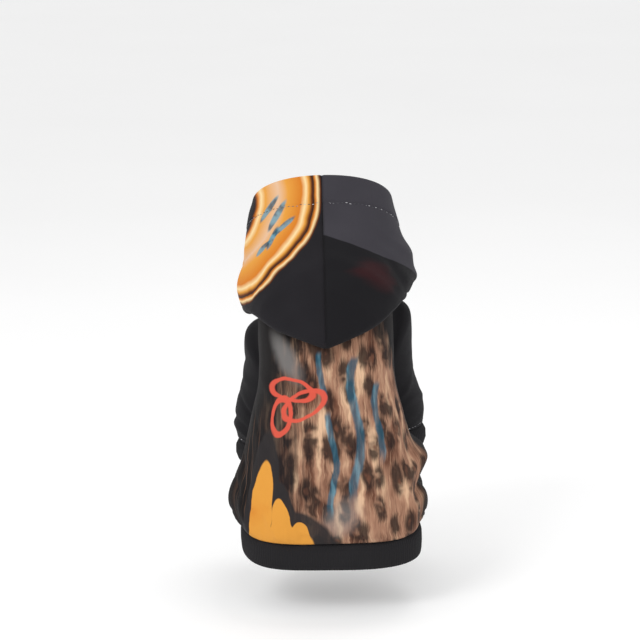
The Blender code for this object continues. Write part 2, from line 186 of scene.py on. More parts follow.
FINE_FOLDS = (
    Fold(-68, 0.800, 0.110, 0.0100, -0.012, 52),
    Fold(-74, 0.845, 0.090, 0.0085, -0.010, 30),
    Fold(-88, 0.935, 0.060, 0.0080, -0.012, 4),
    Fold(66, 0.880, 0.075, 0.0085, -0.011, -24),
    Fold(78, 0.960, 0.060, 0.0070, -0.009, -4),
    Fold(74, 0.700, 0.090, 0.0110, -0.009, -55),
    Fold(-34, 0.930, 0.060, 0.0090, 0.007, 68),
    Fold(22, 0.945, 0.055, 0.0100, 0.007, -74),
    Fold(48, 0.620, 0.120, 0.0130, 0.008, -48),
    Fold(-20, 0.620, 0.130, 0.0140, 0.006, 34),
    Fold(12, 0.780, 0.120, 0.0130, 0.005, -20),
    Fold(-46, 0.700, 0.120, 0.0120, -0.007, 44),
    Fold(30, 0.860, 0.110, 0.0110, -0.006, -34),
    Fold(-8, 0.960, 0.070, 0.0080, 0.006, 6),
    Fold(125, 0.700, 0.100, 0.0120, -0.011, -30),
    Fold(-125, 0.740, 0.100, 0.0120, -0.011, 30),
    Fold(150, 0.860, 0.110, 0.0120, 0.010, 12),
    Fold(-160, 0.620, 0.120, 0.0120, -0.008, -14),
)
GATHERS, GATHER_DEPTH, GATHER_HEIGHT = 14, 0.0016, 0.060
PLEATS, PLEAT_DEPTH, PLEAT_HEIGHT = 61, 0.00065, 0.030
RIPPLE_SIZE, RIPPLE_DEPTH = 0.045, 0.0011
CRUMPLE_SIZE, CRUMPLE_DEPTH = 0.016, 0.00028
WANDER_SIZE, FLAT_NECK, FLAT_HEM = 0.03, 0.06, 0.972


def turn_difference(a, b):
    return (a - b + 180.0) % 360.0 - 180.0


def ripples(points, size, depth):
    """Smooth random heights at points in space, with bumps of about this size."""
    flat = points.reshape(-1, 3) / size
    heights = [noise.noise(Vector(p)) for p in flat.tolist()]
    return np.array(heights).reshape(points.shape[:-1]) * depth


def fold_heights(along, around, folds):
    heights = np.zeros(np.broadcast(along, around).shape)
    for fold in folds:
        level = np.radians(turn_difference(around, fold.around)) * CHEST_WIDTH / 2
        down = (along - fold.along) * BACK_LENGTH
        lean = math.radians(fold.lean)
        run = level * math.cos(lean) + down * math.sin(lean)
        off = down * math.cos(lean) - level * math.sin(lean)
        reach = (run / (fold.length * BACK_LENGTH)) ** 2 + (off / (fold.across * BACK_LENGTH)) ** 2
        heights += fold.depth * CHEST_WIDTH * np.exp(-reach)
    return heights


def body_cloth(along, around):
    """Points of the body's cloth, with its folds, gathers and small unevenness."""
    plain = body_form(along, around)
    heights = fold_heights(along, around, FLANK_FOLDS + FINE_FOLDS)
    share = GATHER_HEIGHT / BACK_LENGTH
    gathers = GATHER_DEPTH * np.cos(np.radians(around) * GATHERS)
    heights += eased(1 - 2 * share, 1 - share, along) * gathers
    share = PLEAT_HEIGHT / BACK_LENGTH
    wander = 0.5 + ripples(plain * [1, 1, 0.2], WANDER_SIZE, 1.0)
    pleats = PLEAT_DEPTH * wander * np.cos(np.radians(around) * PLEATS)
    heights += eased(1 - 1.6 * share, 1.0, along) * pleats
    heights += ripples(plain, RIPPLE_SIZE, RIPPLE_DEPTH)
    heights += ripples(plain + 3.0, CRUMPLE_SIZE, CRUMPLE_DEPTH)
    heights *= eased(0.0, FLAT_NECK, along) * (1 - eased(FLAT_HEM, 1.0, along))
    return plain + body_normal(along, around) * heights[..., None]


print("folds:", len(FLANK_FOLDS) + len(FINE_FOLDS))

# %% [markdown]
# ## From a flat cut to cloth on the body
# A grid primitive is the flat cut. Its vertices are moved to the rows and columns of an array of points, and the
# true lengths along the cloth become its UV map, in metres. The print and the knit read that map, so they follow
# the cloth as on a real garment. Where two cuts meet at a seam, the cloth rolls in a little.

# %% Laying a grid as cloth
SEAM_ROLL, SEAM_ROLL_WIDTH = 0.0009, 0.0035


def cloth_normals(points):
    down, level = np.gradient(points, axis=0), np.gradient(points, axis=1)
    return unit(np.cross(down, level))


def lengths_along(points, axis):
    """Distance along the cloth from the first row or column, for each point."""
    steps = np.linalg.norm(np.diff(points, axis=axis), axis=-1)
    start = np.zeros_like(np.take(steps, [0], axis=axis))
    return np.concatenate([start, np.cumsum(steps, axis=axis)], axis=axis)


def cut_size(flat):
    """Width and length of a flat cut, for printing."""
    return np.ptp(flat, axis=(0, 1)).round(3)


def rolled_in(points, distance, depth=SEAM_ROLL, width=SEAM_ROLL_WIDTH):
    """Presses the cloth in beside a seam, where distance from the seam is small."""
    press = depth * np.clip(1 - distance / width, 0, 1) ** 2
    return points - cloth_normals(points) * press[..., None]


def lay_cloth(name, points, flat):
    """A grid with a vertex at each point. Its faces point along down x across, and flat is its UV map."""
    rows, columns = points.shape[:2]
    bpy.ops.mesh.primitive_grid_add(
        x_subdivisions=columns - 1, y_subdivisions=rows - 1, size=2.0, calc_uvs=True
    )
    piece = bpy.context.object
    piece.name = name
    mesh = piece.data
    places = np.empty(len(mesh.vertices) * 3)
    mesh.vertices.foreach_get("co", places)
    places = places.reshape(-1, 3)
    across = np.rint((places[:, 0] + 1) / 2 * (columns - 1)).astype(int)
    down = np.rint((1 - places[:, 1]) / 2 * (rows - 1)).astype(int)
    mesh.vertices.foreach_set("co", points[down, across].ravel())
    corners = np.empty(len(mesh.loops), dtype=int)
    mesh.loops.foreach_get("vertex_index", corners)
    mesh.uv_layers["UVMap"].data.foreach_set("uv", flat[down, across][corners].ravel())
    mesh.update()
    bpy.ops.object.shade_smooth()
    return piece


def thicken(piece, thickness):
    """Gives the cloth its thickness inwards. The inner face takes the second material."""
    bpy.context.view_layer.objects.active = piece
    bpy.ops.object.modifier_add(type="SOLIDIFY")
    wall = piece.modifiers[-1]
    wall.thickness = thickness
    wall.offset = -1.0
    wall.material_offset = 1
    wall.material_offset_rim = 0
    bpy.ops.object.modifier_apply(modifier=wall.name)


# %% Points of the back and the belly
PANEL_ROWS = 190


def panel_points(start, end, columns):
    around = np.linspace(start, end, columns)[None, :]
    along = np.linspace(0.0, 1.0, PANEL_ROWS)[:, None]
    points = body_cloth(along, around)
    across = lengths_along(points, 1)
    down = lengths_along(points, 0)
    flat = np.stack([across - across[:, [columns // 2]], down], axis=-1)
    width = across[:, -1:]
    points = rolled_in(points, np.minimum(across, width - across))
    points = rolled_in(points, down[-1:] - down, depth=0.0014, width=0.004)
    return points, flat


back_points, back_flat = panel_points(-SIDE_SEAM, SIDE_SEAM, 181)
belly_points, belly_flat = panel_points(SIDE_SEAM, 360 - SIDE_SEAM, 151)
print("back cut:", cut_size(back_flat), "belly cut:", cut_size(belly_flat))

# %% [markdown]
# ## Sleeves
# Each sleeve is a short tube. It leaves the body at the chest and hangs almost straight down, so its line is one
# cubic curve. The real sleeve is sewn to the edge of the armhole. Here each run of the tube starts exactly where
# it comes out of the body's cloth, which gives the same seam without a boolean. A row of ARMS gives the armhole's
# place, how far the sleeve's end spreads sideways, and how much further down it hangs than its plain length.

# %% Sleeve lines and rings
Arm = namedtuple("Arm", "word side along around spread hang")
ARMS = (Arm("left", -1, 0.380, 125, 0.0135, 0.0050), Arm("right", 1, 0.332, 115, 0.0130, 0.0075))
Girth = namedtuple("Girth", "along radius")
SLEEVE_GIRTHS = (
    Girth(0.00, 0.72),
    Girth(0.22, 0.98),
    Girth(0.45, 1.00),
    Girth(0.70, 0.97),
    Girth(0.88, 0.93),
    Girth(1.00, SLEEVE_END_RADIUS / SLEEVE_RADIUS),
)
SLEEVE_COLUMNS, SLEEVE_ROWS = 121, 110
ROOT_SHARE, ROOT_RISE, BEND_SHARE, END_SHARE = 0.62, 0.35, 0.10, 0.40
SPLAY, FORWARD = 0.03, 0.10


def sleeve_line(arm):
    armhole = body_form(arm.along, arm.side * arm.around)
    end = armhole + [arm.side * arm.spread, SLEEVE_REACH, -SLEEVE_LENGTH - arm.hang]
    centre = (body_form(arm.along, 0.0) + body_form(arm.along, 180.0)) / 2
    inside = armhole + (centre - armhole) * ROOT_SHARE + [0.0, 0.0, ROOT_RISE * SLEEVE_LENGTH]
    hang = unit(np.array([arm.side * SPLAY, FORWARD, -1.0]))
    bend = armhole + (centre - armhole) * BEND_SHARE
    return inside, bend, end - hang * SLEEVE_LENGTH * END_SHARE, end


def on_curve(line, t):
    """Place and heading at shares t of a cubic curve."""
    a, b, c, d = line
    t = np.asarray(t, float)[..., None]
    place = a * (1 - t) ** 3 + b * 3 * t * (1 - t) ** 2 + c * 3 * t * t * (1 - t) + d * t**3
    heading = (b - a) * (1 - t) ** 2 + (c - b) * 2 * t * (1 - t) + (d - c) * t * t
    return place, unit(heading)


def ring_directions(heading, angle):
    """Directions square to the heading, at an angle from the level one."""
    level = np.array([1.0, 0.0, 0.0])
    first = unit(level - heading * (heading @ level)[..., None])
    second = np.cross(heading, first)
    return first * np.cos(angle)[..., None] + second * np.sin(angle)[..., None]


FORM_ROWS, FORM_COLUMNS = 90, 181
form_along = np.linspace(0, 1, FORM_ROWS)[:, None]
form_around = np.linspace(-180, 180, FORM_COLUMNS)[None, :]
form_points = body_cloth(form_along, form_around)
corners = np.arange(FORM_ROWS * FORM_COLUMNS).reshape(FORM_ROWS, FORM_COLUMNS)
quads = np.stack([corners[:-1, :-1], corners[1:, :-1], corners[1:, 1:], corners[:-1, 1:]], axis=-1)
body_tree = BVHTree.FromPolygons(form_points.reshape(-1, 3).tolist(), quads.reshape(-1, 4).tolist())


def is_outside(point):
    place, normal, _, _ = body_tree.find_nearest(Vector(point))
    return (Vector(point) - place).dot(normal) > 0


def sleeve_start(line, angle):
    """The share of the line where this run of the tube leaves the body's cloth."""
    low, high = 0.0, 1.0
    for _ in range(16):
        t = (low + high) / 2
        place, heading = on_curve(line, t)
        out = ring_directions(heading, np.array(angle))
        radius = SLEEVE_RADIUS * smooth_curve(SLEEVE_GIRTHS, "along", "radius", t)
        if is_outside(place + out * radius):
            high = t
        else:
            low = t
    return low


# %% [markdown]
# The sleeve's folds go round it: the cloth slides down and stacks above the cuff, and it creases halfway down in
# front. Each crease is strongest at one angle of the tube. Puffs shape the outer side: the cloth stands out below
# the armhole, and draws in further down where a puff's depth is negative.

# %% Points of the sleeves
Crease = namedtuple("Crease", "along angle span width depth")
SLEEVE_CREASES = (
    Crease(0.93, 200, 110, 0.030, 0.0016),
    Crease(0.87, 150, 90, 0.022, -0.0016),
    Crease(0.80, 330, 100, 0.028, 0.0013),
    Crease(0.72, 250, 80, 0.022, -0.0016),
    Crease(0.66, 80, 80, 0.030, 0.0014),
    Crease(0.58, 20, 90, 0.028, -0.0013),
    Crease(0.50, 210, 90, 0.035, 0.0012),
    Crease(0.42, 120, 80, 0.026, -0.0012),
)
Puff = namedtuple("Puff", "side along span depth")
SLEEVE_PUFFS = (
    Puff(1, 0.25, 0.15, 0.0125),
    Puff(-1, 0.28, 0.14, 0.0090),
    Puff(1, 0.64, 0.18, -0.0060),
    Puff(-1, 0.56, 0.12, -0.0030),
)
START_TUCK, PUFF_FADE = 0.004, 0.16
SLEEVE_RIPPLE_SIZE, SLEEVE_RIPPLE_DEPTH = 0.03, 0.0009


def sleeve_points(arm):
    line = sleeve_line(arm)
    angle = np.linspace(0.0, 2 * np.pi, SLEEVE_COLUMNS)[::-1]
    start = np.array([sleeve_start(line, a) for a in angle])[None, :] - START_TUCK
    share = np.linspace(0.0, 1.0, SLEEVE_ROWS)[:, None]
    t = start + (1 - start) * share
    angle = np.broadcast_to(angle[None, :], t.shape)
    place, heading = on_curve(line, t)
    out = ring_directions(heading, angle)
    radius = SLEEVE_RADIUS * smooth_curve(SLEEVE_GIRTHS, "along", "radius", t)
    folds = np.zeros(t.shape)
    for crease in SLEEVE_CREASES:
        off = turn_difference(np.degrees(angle) * arm.side, crease.angle) / crease.span
        slide = (t - crease.along - 0.05 * np.sin(angle * 2 + crease.angle)) / crease.width
        folds += crease.depth * np.exp(-(off**2) - slide**2)
    outer = np.clip(np.cos(angle) * arm.side, 0.0, 1.0) * eased(0.0, PUFF_FADE, share)
    for puff in (puff for puff in SLEEVE_PUFFS if puff.side == arm.side):
        folds += puff.depth * outer * np.exp(-(((t - puff.along) / puff.span) ** 2))
    uneven = ripples(place + out * radius[..., None], SLEEVE_RIPPLE_SIZE, SLEEVE_RIPPLE_DEPTH)
    fade = eased(0.0, 0.10, share) * (1 - eased(0.97, 1.0, share))
    points = place + out * (radius + (folds + uneven) * fade)[..., None]
    flat = np.stack([lengths_along(points, 1), lengths_along(points, 0)], axis=-1)
    down = flat[..., 1]
    points = rolled_in(points, down, depth=0.0008, width=0.003)
    return rolled_in(points, down[-1:] - down, depth=0.0010, width=0.003), flat


sleeves = {arm.word: sleeve_points(arm) for arm in ARMS}
for word, (points, flat) in sleeves.items():
    print(word, "sleeve cut:", cut_size(flat))

# %% [markdown]
# ## The armholes
# The body's cuts need holes where the sleeves are sewn on. Faces that lie inside a sleeve's tube are deleted, and
# the ragged edge that they leave is moved onto the tube, so that the hole is a clean curve.

# %% Cutting the armholes
SEAM_ALLOWANCE = 0.003
TUBE_SHARE, TUBE_STEPS = 0.8, 120


def distance_to_tube(point, centres, radii):
    away = np.linalg.norm(centres - point, axis=1) - radii
    nearest = int(np.argmin(away))
    return away[nearest], centres[nearest], radii[nearest]


def cut_armhole(piece, arm):
    t = np.linspace(0.0, TUBE_SHARE, TUBE_STEPS)
    centres, _ = on_curve(sleeve_line(arm), t)
    radii = SLEEVE_RADIUS * smooth_curve(SLEEVE_GIRTHS, "along", "radius", t) - SEAM_ALLOWANCE
    shape = bmesh.new()
    shape.from_mesh(piece.data)
    inside = {v: distance_to_tube(np.array(v.co), centres, radii)[0] < 0 for v in shape.verts}
    holes = [face for face in shape.faces if all(inside[v] for v in face.verts)]
    bmesh.ops.delete(shape, geom=holes, context="FACES")
    for vertex in shape.verts:
        if vertex.is_boundary and inside.get(vertex, False):
            _, centre, radius = distance_to_tube(np.array(vertex.co), centres, radii)
            out = unit(np.array(vertex.co) - centre)
            vertex.co = Vector(centre + out * radius)
    shape.to_mesh(piece.data)
    shape.free()
    return len(holes)


# %% Making the body and the sleeves
MERGE_DISTANCE = 0.00002


def close_tube(piece):
    """Joins the rows and columns of the active piece that lie on each other."""
    bpy.ops.object.mode_set(mode="EDIT")
    bpy.ops.mesh.select_all(action="SELECT")
    bpy.ops.mesh.remove_doubles(threshold=MERGE_DISTANCE)
    bpy.ops.object.mode_set(mode="OBJECT")
    return piece


back_cloth = lay_cloth("back_cloth", back_points, back_flat)
belly_cloth = lay_cloth("belly_cloth", belly_points, belly_flat)
for arm in ARMS:
    for piece in (back_cloth, belly_cloth):
        print(piece.name, arm.word, "armhole faces:", cut_armhole(piece, arm))
sleeve_cloths = {}
for word, (points, flat) in sleeves.items():
    sleeve_cloths[word] = close_tube(lay_cloth("sleeve_cloth_" + word, points, flat))
for piece in (back_cloth, belly_cloth, *sleeve_cloths.values()):
    thicken(piece, CLOTH)
    print(piece.name, "faces:", len(piece.data.polygons))

# %% [markdown]
# ## The hood, lying down
# Pushed back, the hood is a pouch: one layer lies on the back, the cloth turns up at the bottom, and the outer
# layer climbs again to the opening's edge round the neck. Seen from the side, one line tells it all, so the hood
# is made of such lines, one for each direction round the neck. A drape says how far down the pouch hangs in one
# direction, and how much further on the left. A dent with a positive depth is a bulge of the outer layer.

# %% Hood tables
Drape = namedtuple("Drape", "around drop left_extra")
DRAPES = (
    Drape(0, 1.000, 0.00),
    Drape(18, 0.925, 0.00),
    Drape(34, 0.850, 0.01),
    Drape(52, 0.735, 0.02),
    Drape(70, 0.640, 0.05),
    Drape(90, 0.590, 0.07),
    Drape(110, 0.460, 0.05),
    Drape(130, 0.355, 0.00),
    Drape(150, 0.270, 0.00),
    Drape(180, 0.200, 0.00),
)
Dent = namedtuple("Dent", "around height span reach depth")
DENTS = (
    Dent(-88, 0.46, 26, 0.06, -0.04),
    Dent(-92, 0.18, 34, 0.13, 0.16),
    Dent(86, 0.40, 26, 0.13, 0.46),
    Dent(92, 0.155, 30, 0.12, 0.62),
    Dent(22, 0.30, 24, 0.12, 0.30),
    Dent(-26, 0.36, 22, 0.11, 0.30),
    Dent(-12, 0.72, 34, 0.14, -0.28),
)
HOOD_COLUMNS = 131
LAYER_ROWS, TURN_ROWS, OUTER_ROWS = 46, 18, 96
RIM_ROW = LAYER_ROWS + TURN_ROWS + OUTER_ROWS - 3
LIFT, COLLAR, COLLAR_PUFF, DENTS_END = 0.33, 0.30, 0.6, 0.8


def hood_drop(around):
    turned = np.abs(around)
    drop = smooth_curve(DRAPES, "around", "drop", turned)
    extra = smooth_curve(DRAPES, "around", "left_extra", turned)
    return (drop + np.where(around < 0, extra, 0.0)) * HOOD_DROP / BACK_LENGTH


def edge_line(around):
    """The hood's opening edge, round the neck above the neckline."""
    angle, lean = np.radians(around), math.radians(EDGE_TILT)
    up = np.array([0.0, math.sin(lean), math.cos(lean)])
    forward = np.array([0.0, math.cos(lean), -math.sin(lean)])
    rise = EDGE_RISE - THROAT_DIP * eased(125.0, 180.0, np.abs(around))
    sine, cosine = np.sin(angle), np.cos(angle)
    reach = NECK_DEPTH / 2 - EDGE_DEPTH / 2 * np.sign(cosine) * np.abs(cosine) ** EDGE_SQUARENESS
    across = EDGE_WIDTH / 2 * np.sign(sine) * np.abs(sine) ** EDGE_SQUARENESS
    side = np.stack([across, 0 * angle, 0 * angle], axis=-1)
    return side + forward * reach[..., None] + up * rise[..., None]


def dent_heights(around, share):
    heights = np.zeros(np.broadcast(around, share).shape)
    for dent in DENTS:
        sideways = turn_difference(around, dent.around) / dent.span
        upwards = (share - dent.height) / dent.reach
        heights += dent.depth * HOOD_LOFT * np.exp(-(sideways**2 + upwards**2))
    return heights


def hood_points(side):
    around = (side * np.linspace(0.0, 180.0, HOOD_COLUMNS))[None, :]
    fold_at = hood_drop(around)
    share = np.linspace(0.0, 1.0, LAYER_ROWS)[:, None]
    layer = body_cloth(fold_at * share, around)
    layer = layer + body_normal(fold_at * share, around) * HOOD_CLEARANCE
    out = body_normal(fold_at, around)
    down = unit(body_form(fold_at + 0.01, around) - body_form(fold_at - 0.01, around))
    radius = HOOD_LOFT / 2
    centre = layer[-1:] + out * radius
    angle = np.linspace(0.0, np.pi, TURN_ROWS)[1:, None, None]
    turn = centre - out * radius * np.cos(angle) + down * radius * np.sin(angle)
    start, end = turn[-1:], edge_line(around)
    rise = np.linalg.norm(start - end, axis=-1, keepdims=True)
    lifted = start - down * rise * LIFT + out * HOOD_PUFF
    collar = end + unit(start - end) * rise * COLLAR + out * HOOD_PUFF * COLLAR_PUFF
    share = np.linspace(0.0, 1.0, OUTER_ROWS)[1:, None]
    t = share[..., None]
    outer = start * (1 - t) ** 3 + lifted * 3 * t * (1 - t) ** 2
    outer = outer + collar * 3 * t * t * (1 - t) + end * t**3
    dents = dent_heights(around, share) * (1 - eased(DENTS_END, 1.0, share))
    outer = outer + out * dents[..., None]
    return np.concatenate([layer, turn, outer], axis=0), around


# %% [markdown]
# The outer layer is a loose, heavy cloth. It sags in shallow folds over the back, and pulls in short slanting
# folds towards the tip, where its weight hangs. Their table gives places in degrees round the neck and in metres
# down from the edge. The edge has a deep hem: the cloth folds over at the rim and comes down again inside, and a
# shallow groove shows where it is stitched.

# %% Hood folds and hem
HEM_WIDTH, HEM_TURN, HEM_ROWS, HEM_TURN_ROWS = 0.0312, 0.0016, 22, 9
HEM_RAISED, GROOVE_DEPTH, GROOVE_WIDTH = 0.0007, 0.0006, 0.0011
HoodFold = namedtuple("HoodFold", "around down length across depth lean")
HOOD_FOLDS = (
    HoodFold(30, 0.120, 0.050, 0.0075, 0.0022, 32),
    HoodFold(52, 0.105, 0.045, 0.0065, -0.0018, 44),
    HoodFold(70, 0.075, 0.045, 0.0080, 0.0020, 20),
    HoodFold(84, 0.100, 0.035, 0.0070, -0.0016, 12),
    HoodFold(16, 0.150, 0.030, 0.0060, 0.0014, 40),
    HoodFold(40, 0.066, 0.055, 0.0120, -0.0016, 14),
    HoodFold(-24, 0.128, 0.050, 0.0075, 0.0022, -36),
    HoodFold(-46, 0.112, 0.045, 0.0070, -0.0018, -46),
    HoodFold(-66, 0.090, 0.045, 0.0085, 0.0022, -26),
    HoodFold(-82, 0.072, 0.030, 0.0070, -0.0022, -4),
    HoodFold(-78, 0.112, 0.035, 0.0070, 0.0020, -18),
    HoodFold(-14, 0.156, 0.028, 0.0060, 0.0013, -42),
    HoodFold(-34, 0.060, 0.055, 0.0120, -0.0016, -12),
    HoodFold(118, 0.050, 0.040, 0.0090, 0.0022, -30),
    HoodFold(-118, 0.050, 0.040, 0.0090, 0.0022, 30),
    HoodFold(145, 0.035, 0.030, 0.0070, -0.0016, -48),
    HoodFold(-145, 0.035, 0.030, 0.0070, -0.0016, 48),
)


def hood_fold_heights(around, down):
    heights = np.zeros(np.broadcast(around, down).shape)
    for fold in HOOD_FOLDS:
        level = np.radians(turn_difference(around, fold.around)) * EDGE_WIDTH / 2
        lean = math.radians(fold.lean)
        run = level * math.cos(lean) + (down - fold.down) * math.sin(lean)
        off = (down - fold.down) * math.cos(lean) - level * math.sin(lean)
        heights += fold.depth * np.exp(-((run / fold.length) ** 2) - (off / fold.across) ** 2)
    return heights


def line_below_rim(points, down, reach):
    """The line on the cloth that lies at one reach below the rim, all the way round."""
    return [
        [np.interp(reach, down[::-1, column], points[::-1, column, axis]) for axis in range(3)]
        for column in range(points.shape[1])
    ]


def hem_inside(points, down):
    """Rows past the rim: the cloth's turn, and the layer that comes down again inside."""
    normals = cloth_normals(points)
    upward = unit(points[-1:] - points[-4:-3])
    angle = np.linspace(0.0, np.pi, HEM_TURN_ROWS)[1:, None, None]
    turn = points[-1:] - normals[-1:] * HEM_TURN * (1 - np.cos(angle)) + upward * HEM_TURN * np.sin(angle)
    inner = points - normals * 2 * HEM_TURN
    reaches = np.linspace(0.0, HEM_WIDTH, HEM_ROWS)[1:]
    lining = np.array([line_below_rim(inner, down, reach) for reach in reaches])
    return np.concatenate([turn, lining], axis=0)


def hood_cloth_points(side):
    points, around = hood_points(side)
    if side > 0:
        points, around = points[:, ::-1], around[:, ::-1]
    along_cloth = lengths_along(points, 0)
    down = along_cloth[-1:] - along_cloth
    rows = np.arange(len(points))[:, None]
    outer = eased(LAYER_ROWS + TURN_ROWS * 0.5, LAYER_ROWS + TURN_ROWS * 1.6, rows)
    heights = hood_fold_heights(around, down) + ripples(points, RIPPLE_SIZE, 1.3 * RIPPLE_DEPTH)
    heights += ripples(points + 5.0, CRUMPLE_SIZE, CRUMPLE_DEPTH)
    heights *= outer * eased(0.0, 0.016, down)
    points = points + cloth_normals(points) * heights[..., None]
    groove = np.exp(-(((down - HEM_WIDTH) / GROOVE_WIDTH) ** 2)) * GROOVE_DEPTH
    doubled = (1 - eased(HEM_WIDTH - 0.0015, HEM_WIDTH, down)) * HEM_RAISED
    points = points + cloth_normals(points) * ((doubled - groove) * outer)[..., None]
    across = lengths_along(points, 1)
    edges = np.minimum(across, across[:, -1:] - across)
    points = rolled_in(points, edges, depth=0.0012, width=0.003)
    sideways = (across[:, -1:] if side > 0 else across[:, :1]) - across
    hem = hem_inside(points, down)
    points = np.concatenate([points, hem], axis=0)
    sideways = np.concatenate([sideways, np.repeat(sideways[-1:], len(hem), axis=0)])
    along_cloth = lengths_along(points, 0)
    flat = np.stack([sideways, along_cloth[RIM_ROW] - along_cloth], axis=-1)
    return points, flat


# %% Making the hood
hoods = {arm.word: hood_cloth_points(arm.side) for arm in ARMS}
hood_cloths = {}
for word, (points, flat) in hoods.items():
    piece = lay_cloth("hood_cloth_" + word, points, flat)
    thicken(piece, 0.75 * CLOTH)
    hood_cloths[word] = piece
    print(piece.name, "cut:", cut_size(flat), "faces:", len(piece.data.polygons))

# %% [markdown]
# ## Waistband and cuffs
# Rib knit is folded double: the band's outer face goes down, turns at the hem and comes up again inside. The ribs
# are real ridges here, because they show in the outline of the hem. One closed line of the band's section is swept
# round the hem or the wrist.

# %% Rib bands
RIB_PITCH, RIB_DEPTH, COLUMNS_PER_RIB = 0.0027, 0.00022, 5
TUCK_UP, TUCK_IN, BAND_GAP = 0.0030, 0.0044, SEAM_ROLL / 3


def band_profile(shape, height, thickness):
    """A closed section, down the outer face, round the fold and up the inner face. Each point has its drop, its
    spread, and 1 or -1 for the way it faces."""
    places = np.unique(np.concatenate([np.linspace(0.0, 1.0, 12), shape[0]]))
    drops = places[places < 1.0 - thickness / 2 / height] * height
    outer = np.interp(drops / height, shape[0], shape[1])
    fold = np.linspace(0.0, np.pi, 9)[1:-1]
    centre = outer[-1] - thickness / 2
    turn_drop = drops[-1] + thickness / 2 * np.sin(fold)
    turn_spread = centre + thickness / 2 * np.cos(fold)
    drop = np.concatenate([drops, turn_drop, drops[::-1], drops[:1]])
    spread = np.concatenate([outer, turn_spread, outer[::-1] - thickness, outer[:1]])
    facing = np.where(np.arange(len(drop)) < len(drop) / 2, 1.0, -1.0)
    return drop[:, None], spread[:, None], facing[:, None]


def rib_wave(columns):
    return RIB_DEPTH * np.cos(np.arange(columns) / COLUMNS_PER_RIB * 2 * np.pi)[None, :]


def band_piece(name, points):
    """A tube of rib cloth: the first and last columns, and the first and last rows, are joined."""
    flat = np.stack([lengths_along(points, 1), lengths_along(points, 0)], axis=-1)
    print(name, "cut:", cut_size(flat))
    return close_tube(lay_cloth(name, points, flat))


# %% [markdown]
# The band's shape is a pair of rows: how far down, as a share of its height, and how far out from the hem of the
# cloth. It starts tucked up under the cloth, bulges, and draws in at the bottom. The ribs stand at equal steps
# along the hem, and a small wave keeps the band from looking turned on a lathe.

# %% Waistband
WAIST_SHAPE = (
    (-TUCK_UP / WAISTBAND_HEIGHT, 0.0, 0.03, 0.20, 0.50, 0.80, 1.0),
    (-TUCK_IN, -TUCK_IN, -0.0008, 0.8 * WAISTBAND_BULGE, WAISTBAND_BULGE,
     0.3 * WAISTBAND_TUCK, -0.2 * WAISTBAND_TUCK),
)
WAIST_ROUND = 0.57
WAIST_WAVE, WAIST_FINE_WAVE = 0.0007, 0.0005
SAG_OUT, SAG_AT, SAG_SPAN = 0.0022, 68.0, 34.0
waist_ribs = round(WAIST_ROUND / RIB_PITCH)
waist_columns = waist_ribs * COLUMNS_PER_RIB + 1
drop, spread, facing = band_profile(WAIST_SHAPE, WAISTBAND_HEIGHT, RIB_CLOTH)
dense = np.linspace(-180.0, 180.0, 1441)[None, :]
run = lengths_along(body_form(1.0, dense), 1)[0]
around = np.interp(np.linspace(0.0, run[-1], waist_columns), run, dense[0])[None, :]
angle = np.radians(around)
uneven = WAIST_WAVE * np.sin(angle * 3 + 1.0) + WAIST_FINE_WAVE * np.sin(angle * 7)
uneven = uneven + SAG_OUT * np.exp(-(((around - SAG_AT) / SAG_SPAN) ** 2))
spread = spread + rib_wave(waist_columns) * facing + uneven
waist_cloth = band_piece("waist_cloth", body_form(1.0, around, drop + BAND_GAP, spread))
print("waistband ribs:", waist_ribs)

# %% Cuffs
CUFF_SHAPE = (
    (-TUCK_UP / CUFF_LENGTH, 0.0, 0.04, 0.30, 0.65, 1.0),
    (-TUCK_IN, -TUCK_IN, -0.0008, CUFF_BULGE, CUFF_BULGE, -0.4 * CUFF_BULGE),
)
CUFF_WAVE = 0.0005
cuff_cloths = {}
for arm in ARMS:
    end, heading = on_curve(sleeve_line(arm), 1.0)
    ribs = round(2 * math.pi * SLEEVE_END_RADIUS / RIB_PITCH)
    columns = ribs * COLUMNS_PER_RIB + 1
    drop, spread, facing = band_profile(CUFF_SHAPE, CUFF_LENGTH, RIB_CLOTH)
    angle = np.linspace(0.0, 2 * np.pi, columns)[None, ::-1]
    out = ring_directions(np.broadcast_to(heading, angle.shape + (3,)), angle)
    radius = SLEEVE_END_RADIUS + spread + rib_wave(columns) * facing
    radius = radius + CUFF_WAVE * np.sin(angle * 3 + arm.side)
    points = end + heading * (drop + BAND_GAP)[..., None] + out * radius[..., None]
    cuff_cloths[arm.word] = band_piece("cuff_cloth_" + arm.word, points)

# %% [markdown]
# ## Finishes
# A printed sweatshirt is polyester knit: matt, with a faint sheen where the nap catches light. Its print is dyed
# into the cloth, so it is as matt as the ground. The first helpers add nodes and join them, so that each finish
# below reads as a short recipe. The Mix node has sockets of the same name for numbers and for colours, so its
# colours are taken by their place in the row.

# %% Node helpers
COLOUR_A, COLOUR_B, MIXED_COLOUR = 6, 7, 2
CLOTH_SPECULAR, CLOTH_SHEEN_ROUGHNESS = 0.15, 0.45


def add_node(tree, kind, **settings):
    node = tree.nodes.new("ShaderNode" + kind)
    for name, value in settings.items():
        setattr(node, name, value)
    return node


def feed(tree, socket, value):
    if isinstance(value, bpy.types.NodeSocket):
        tree.links.new(value, socket)
    else:
        socket.default_value = value


def reckon(tree, operation, *values):
    node = add_node(tree, "Math", operation=operation)
    for socket, value in zip(node.inputs, values):
        feed(tree, socket, value)
    return node.outputs["Value"]


def soft_step(tree, value, low, high):
    """0 at low and 1 at high, smooth in between. low may be the larger one."""
    node = add_node(tree, "MapRange", interpolation_type="SMOOTHSTEP")
    feed(tree, node.inputs["Value"], value)
    node.inputs["From Min"].default_value = low
    node.inputs["From Max"].default_value = high
    return node.outputs["Result"]


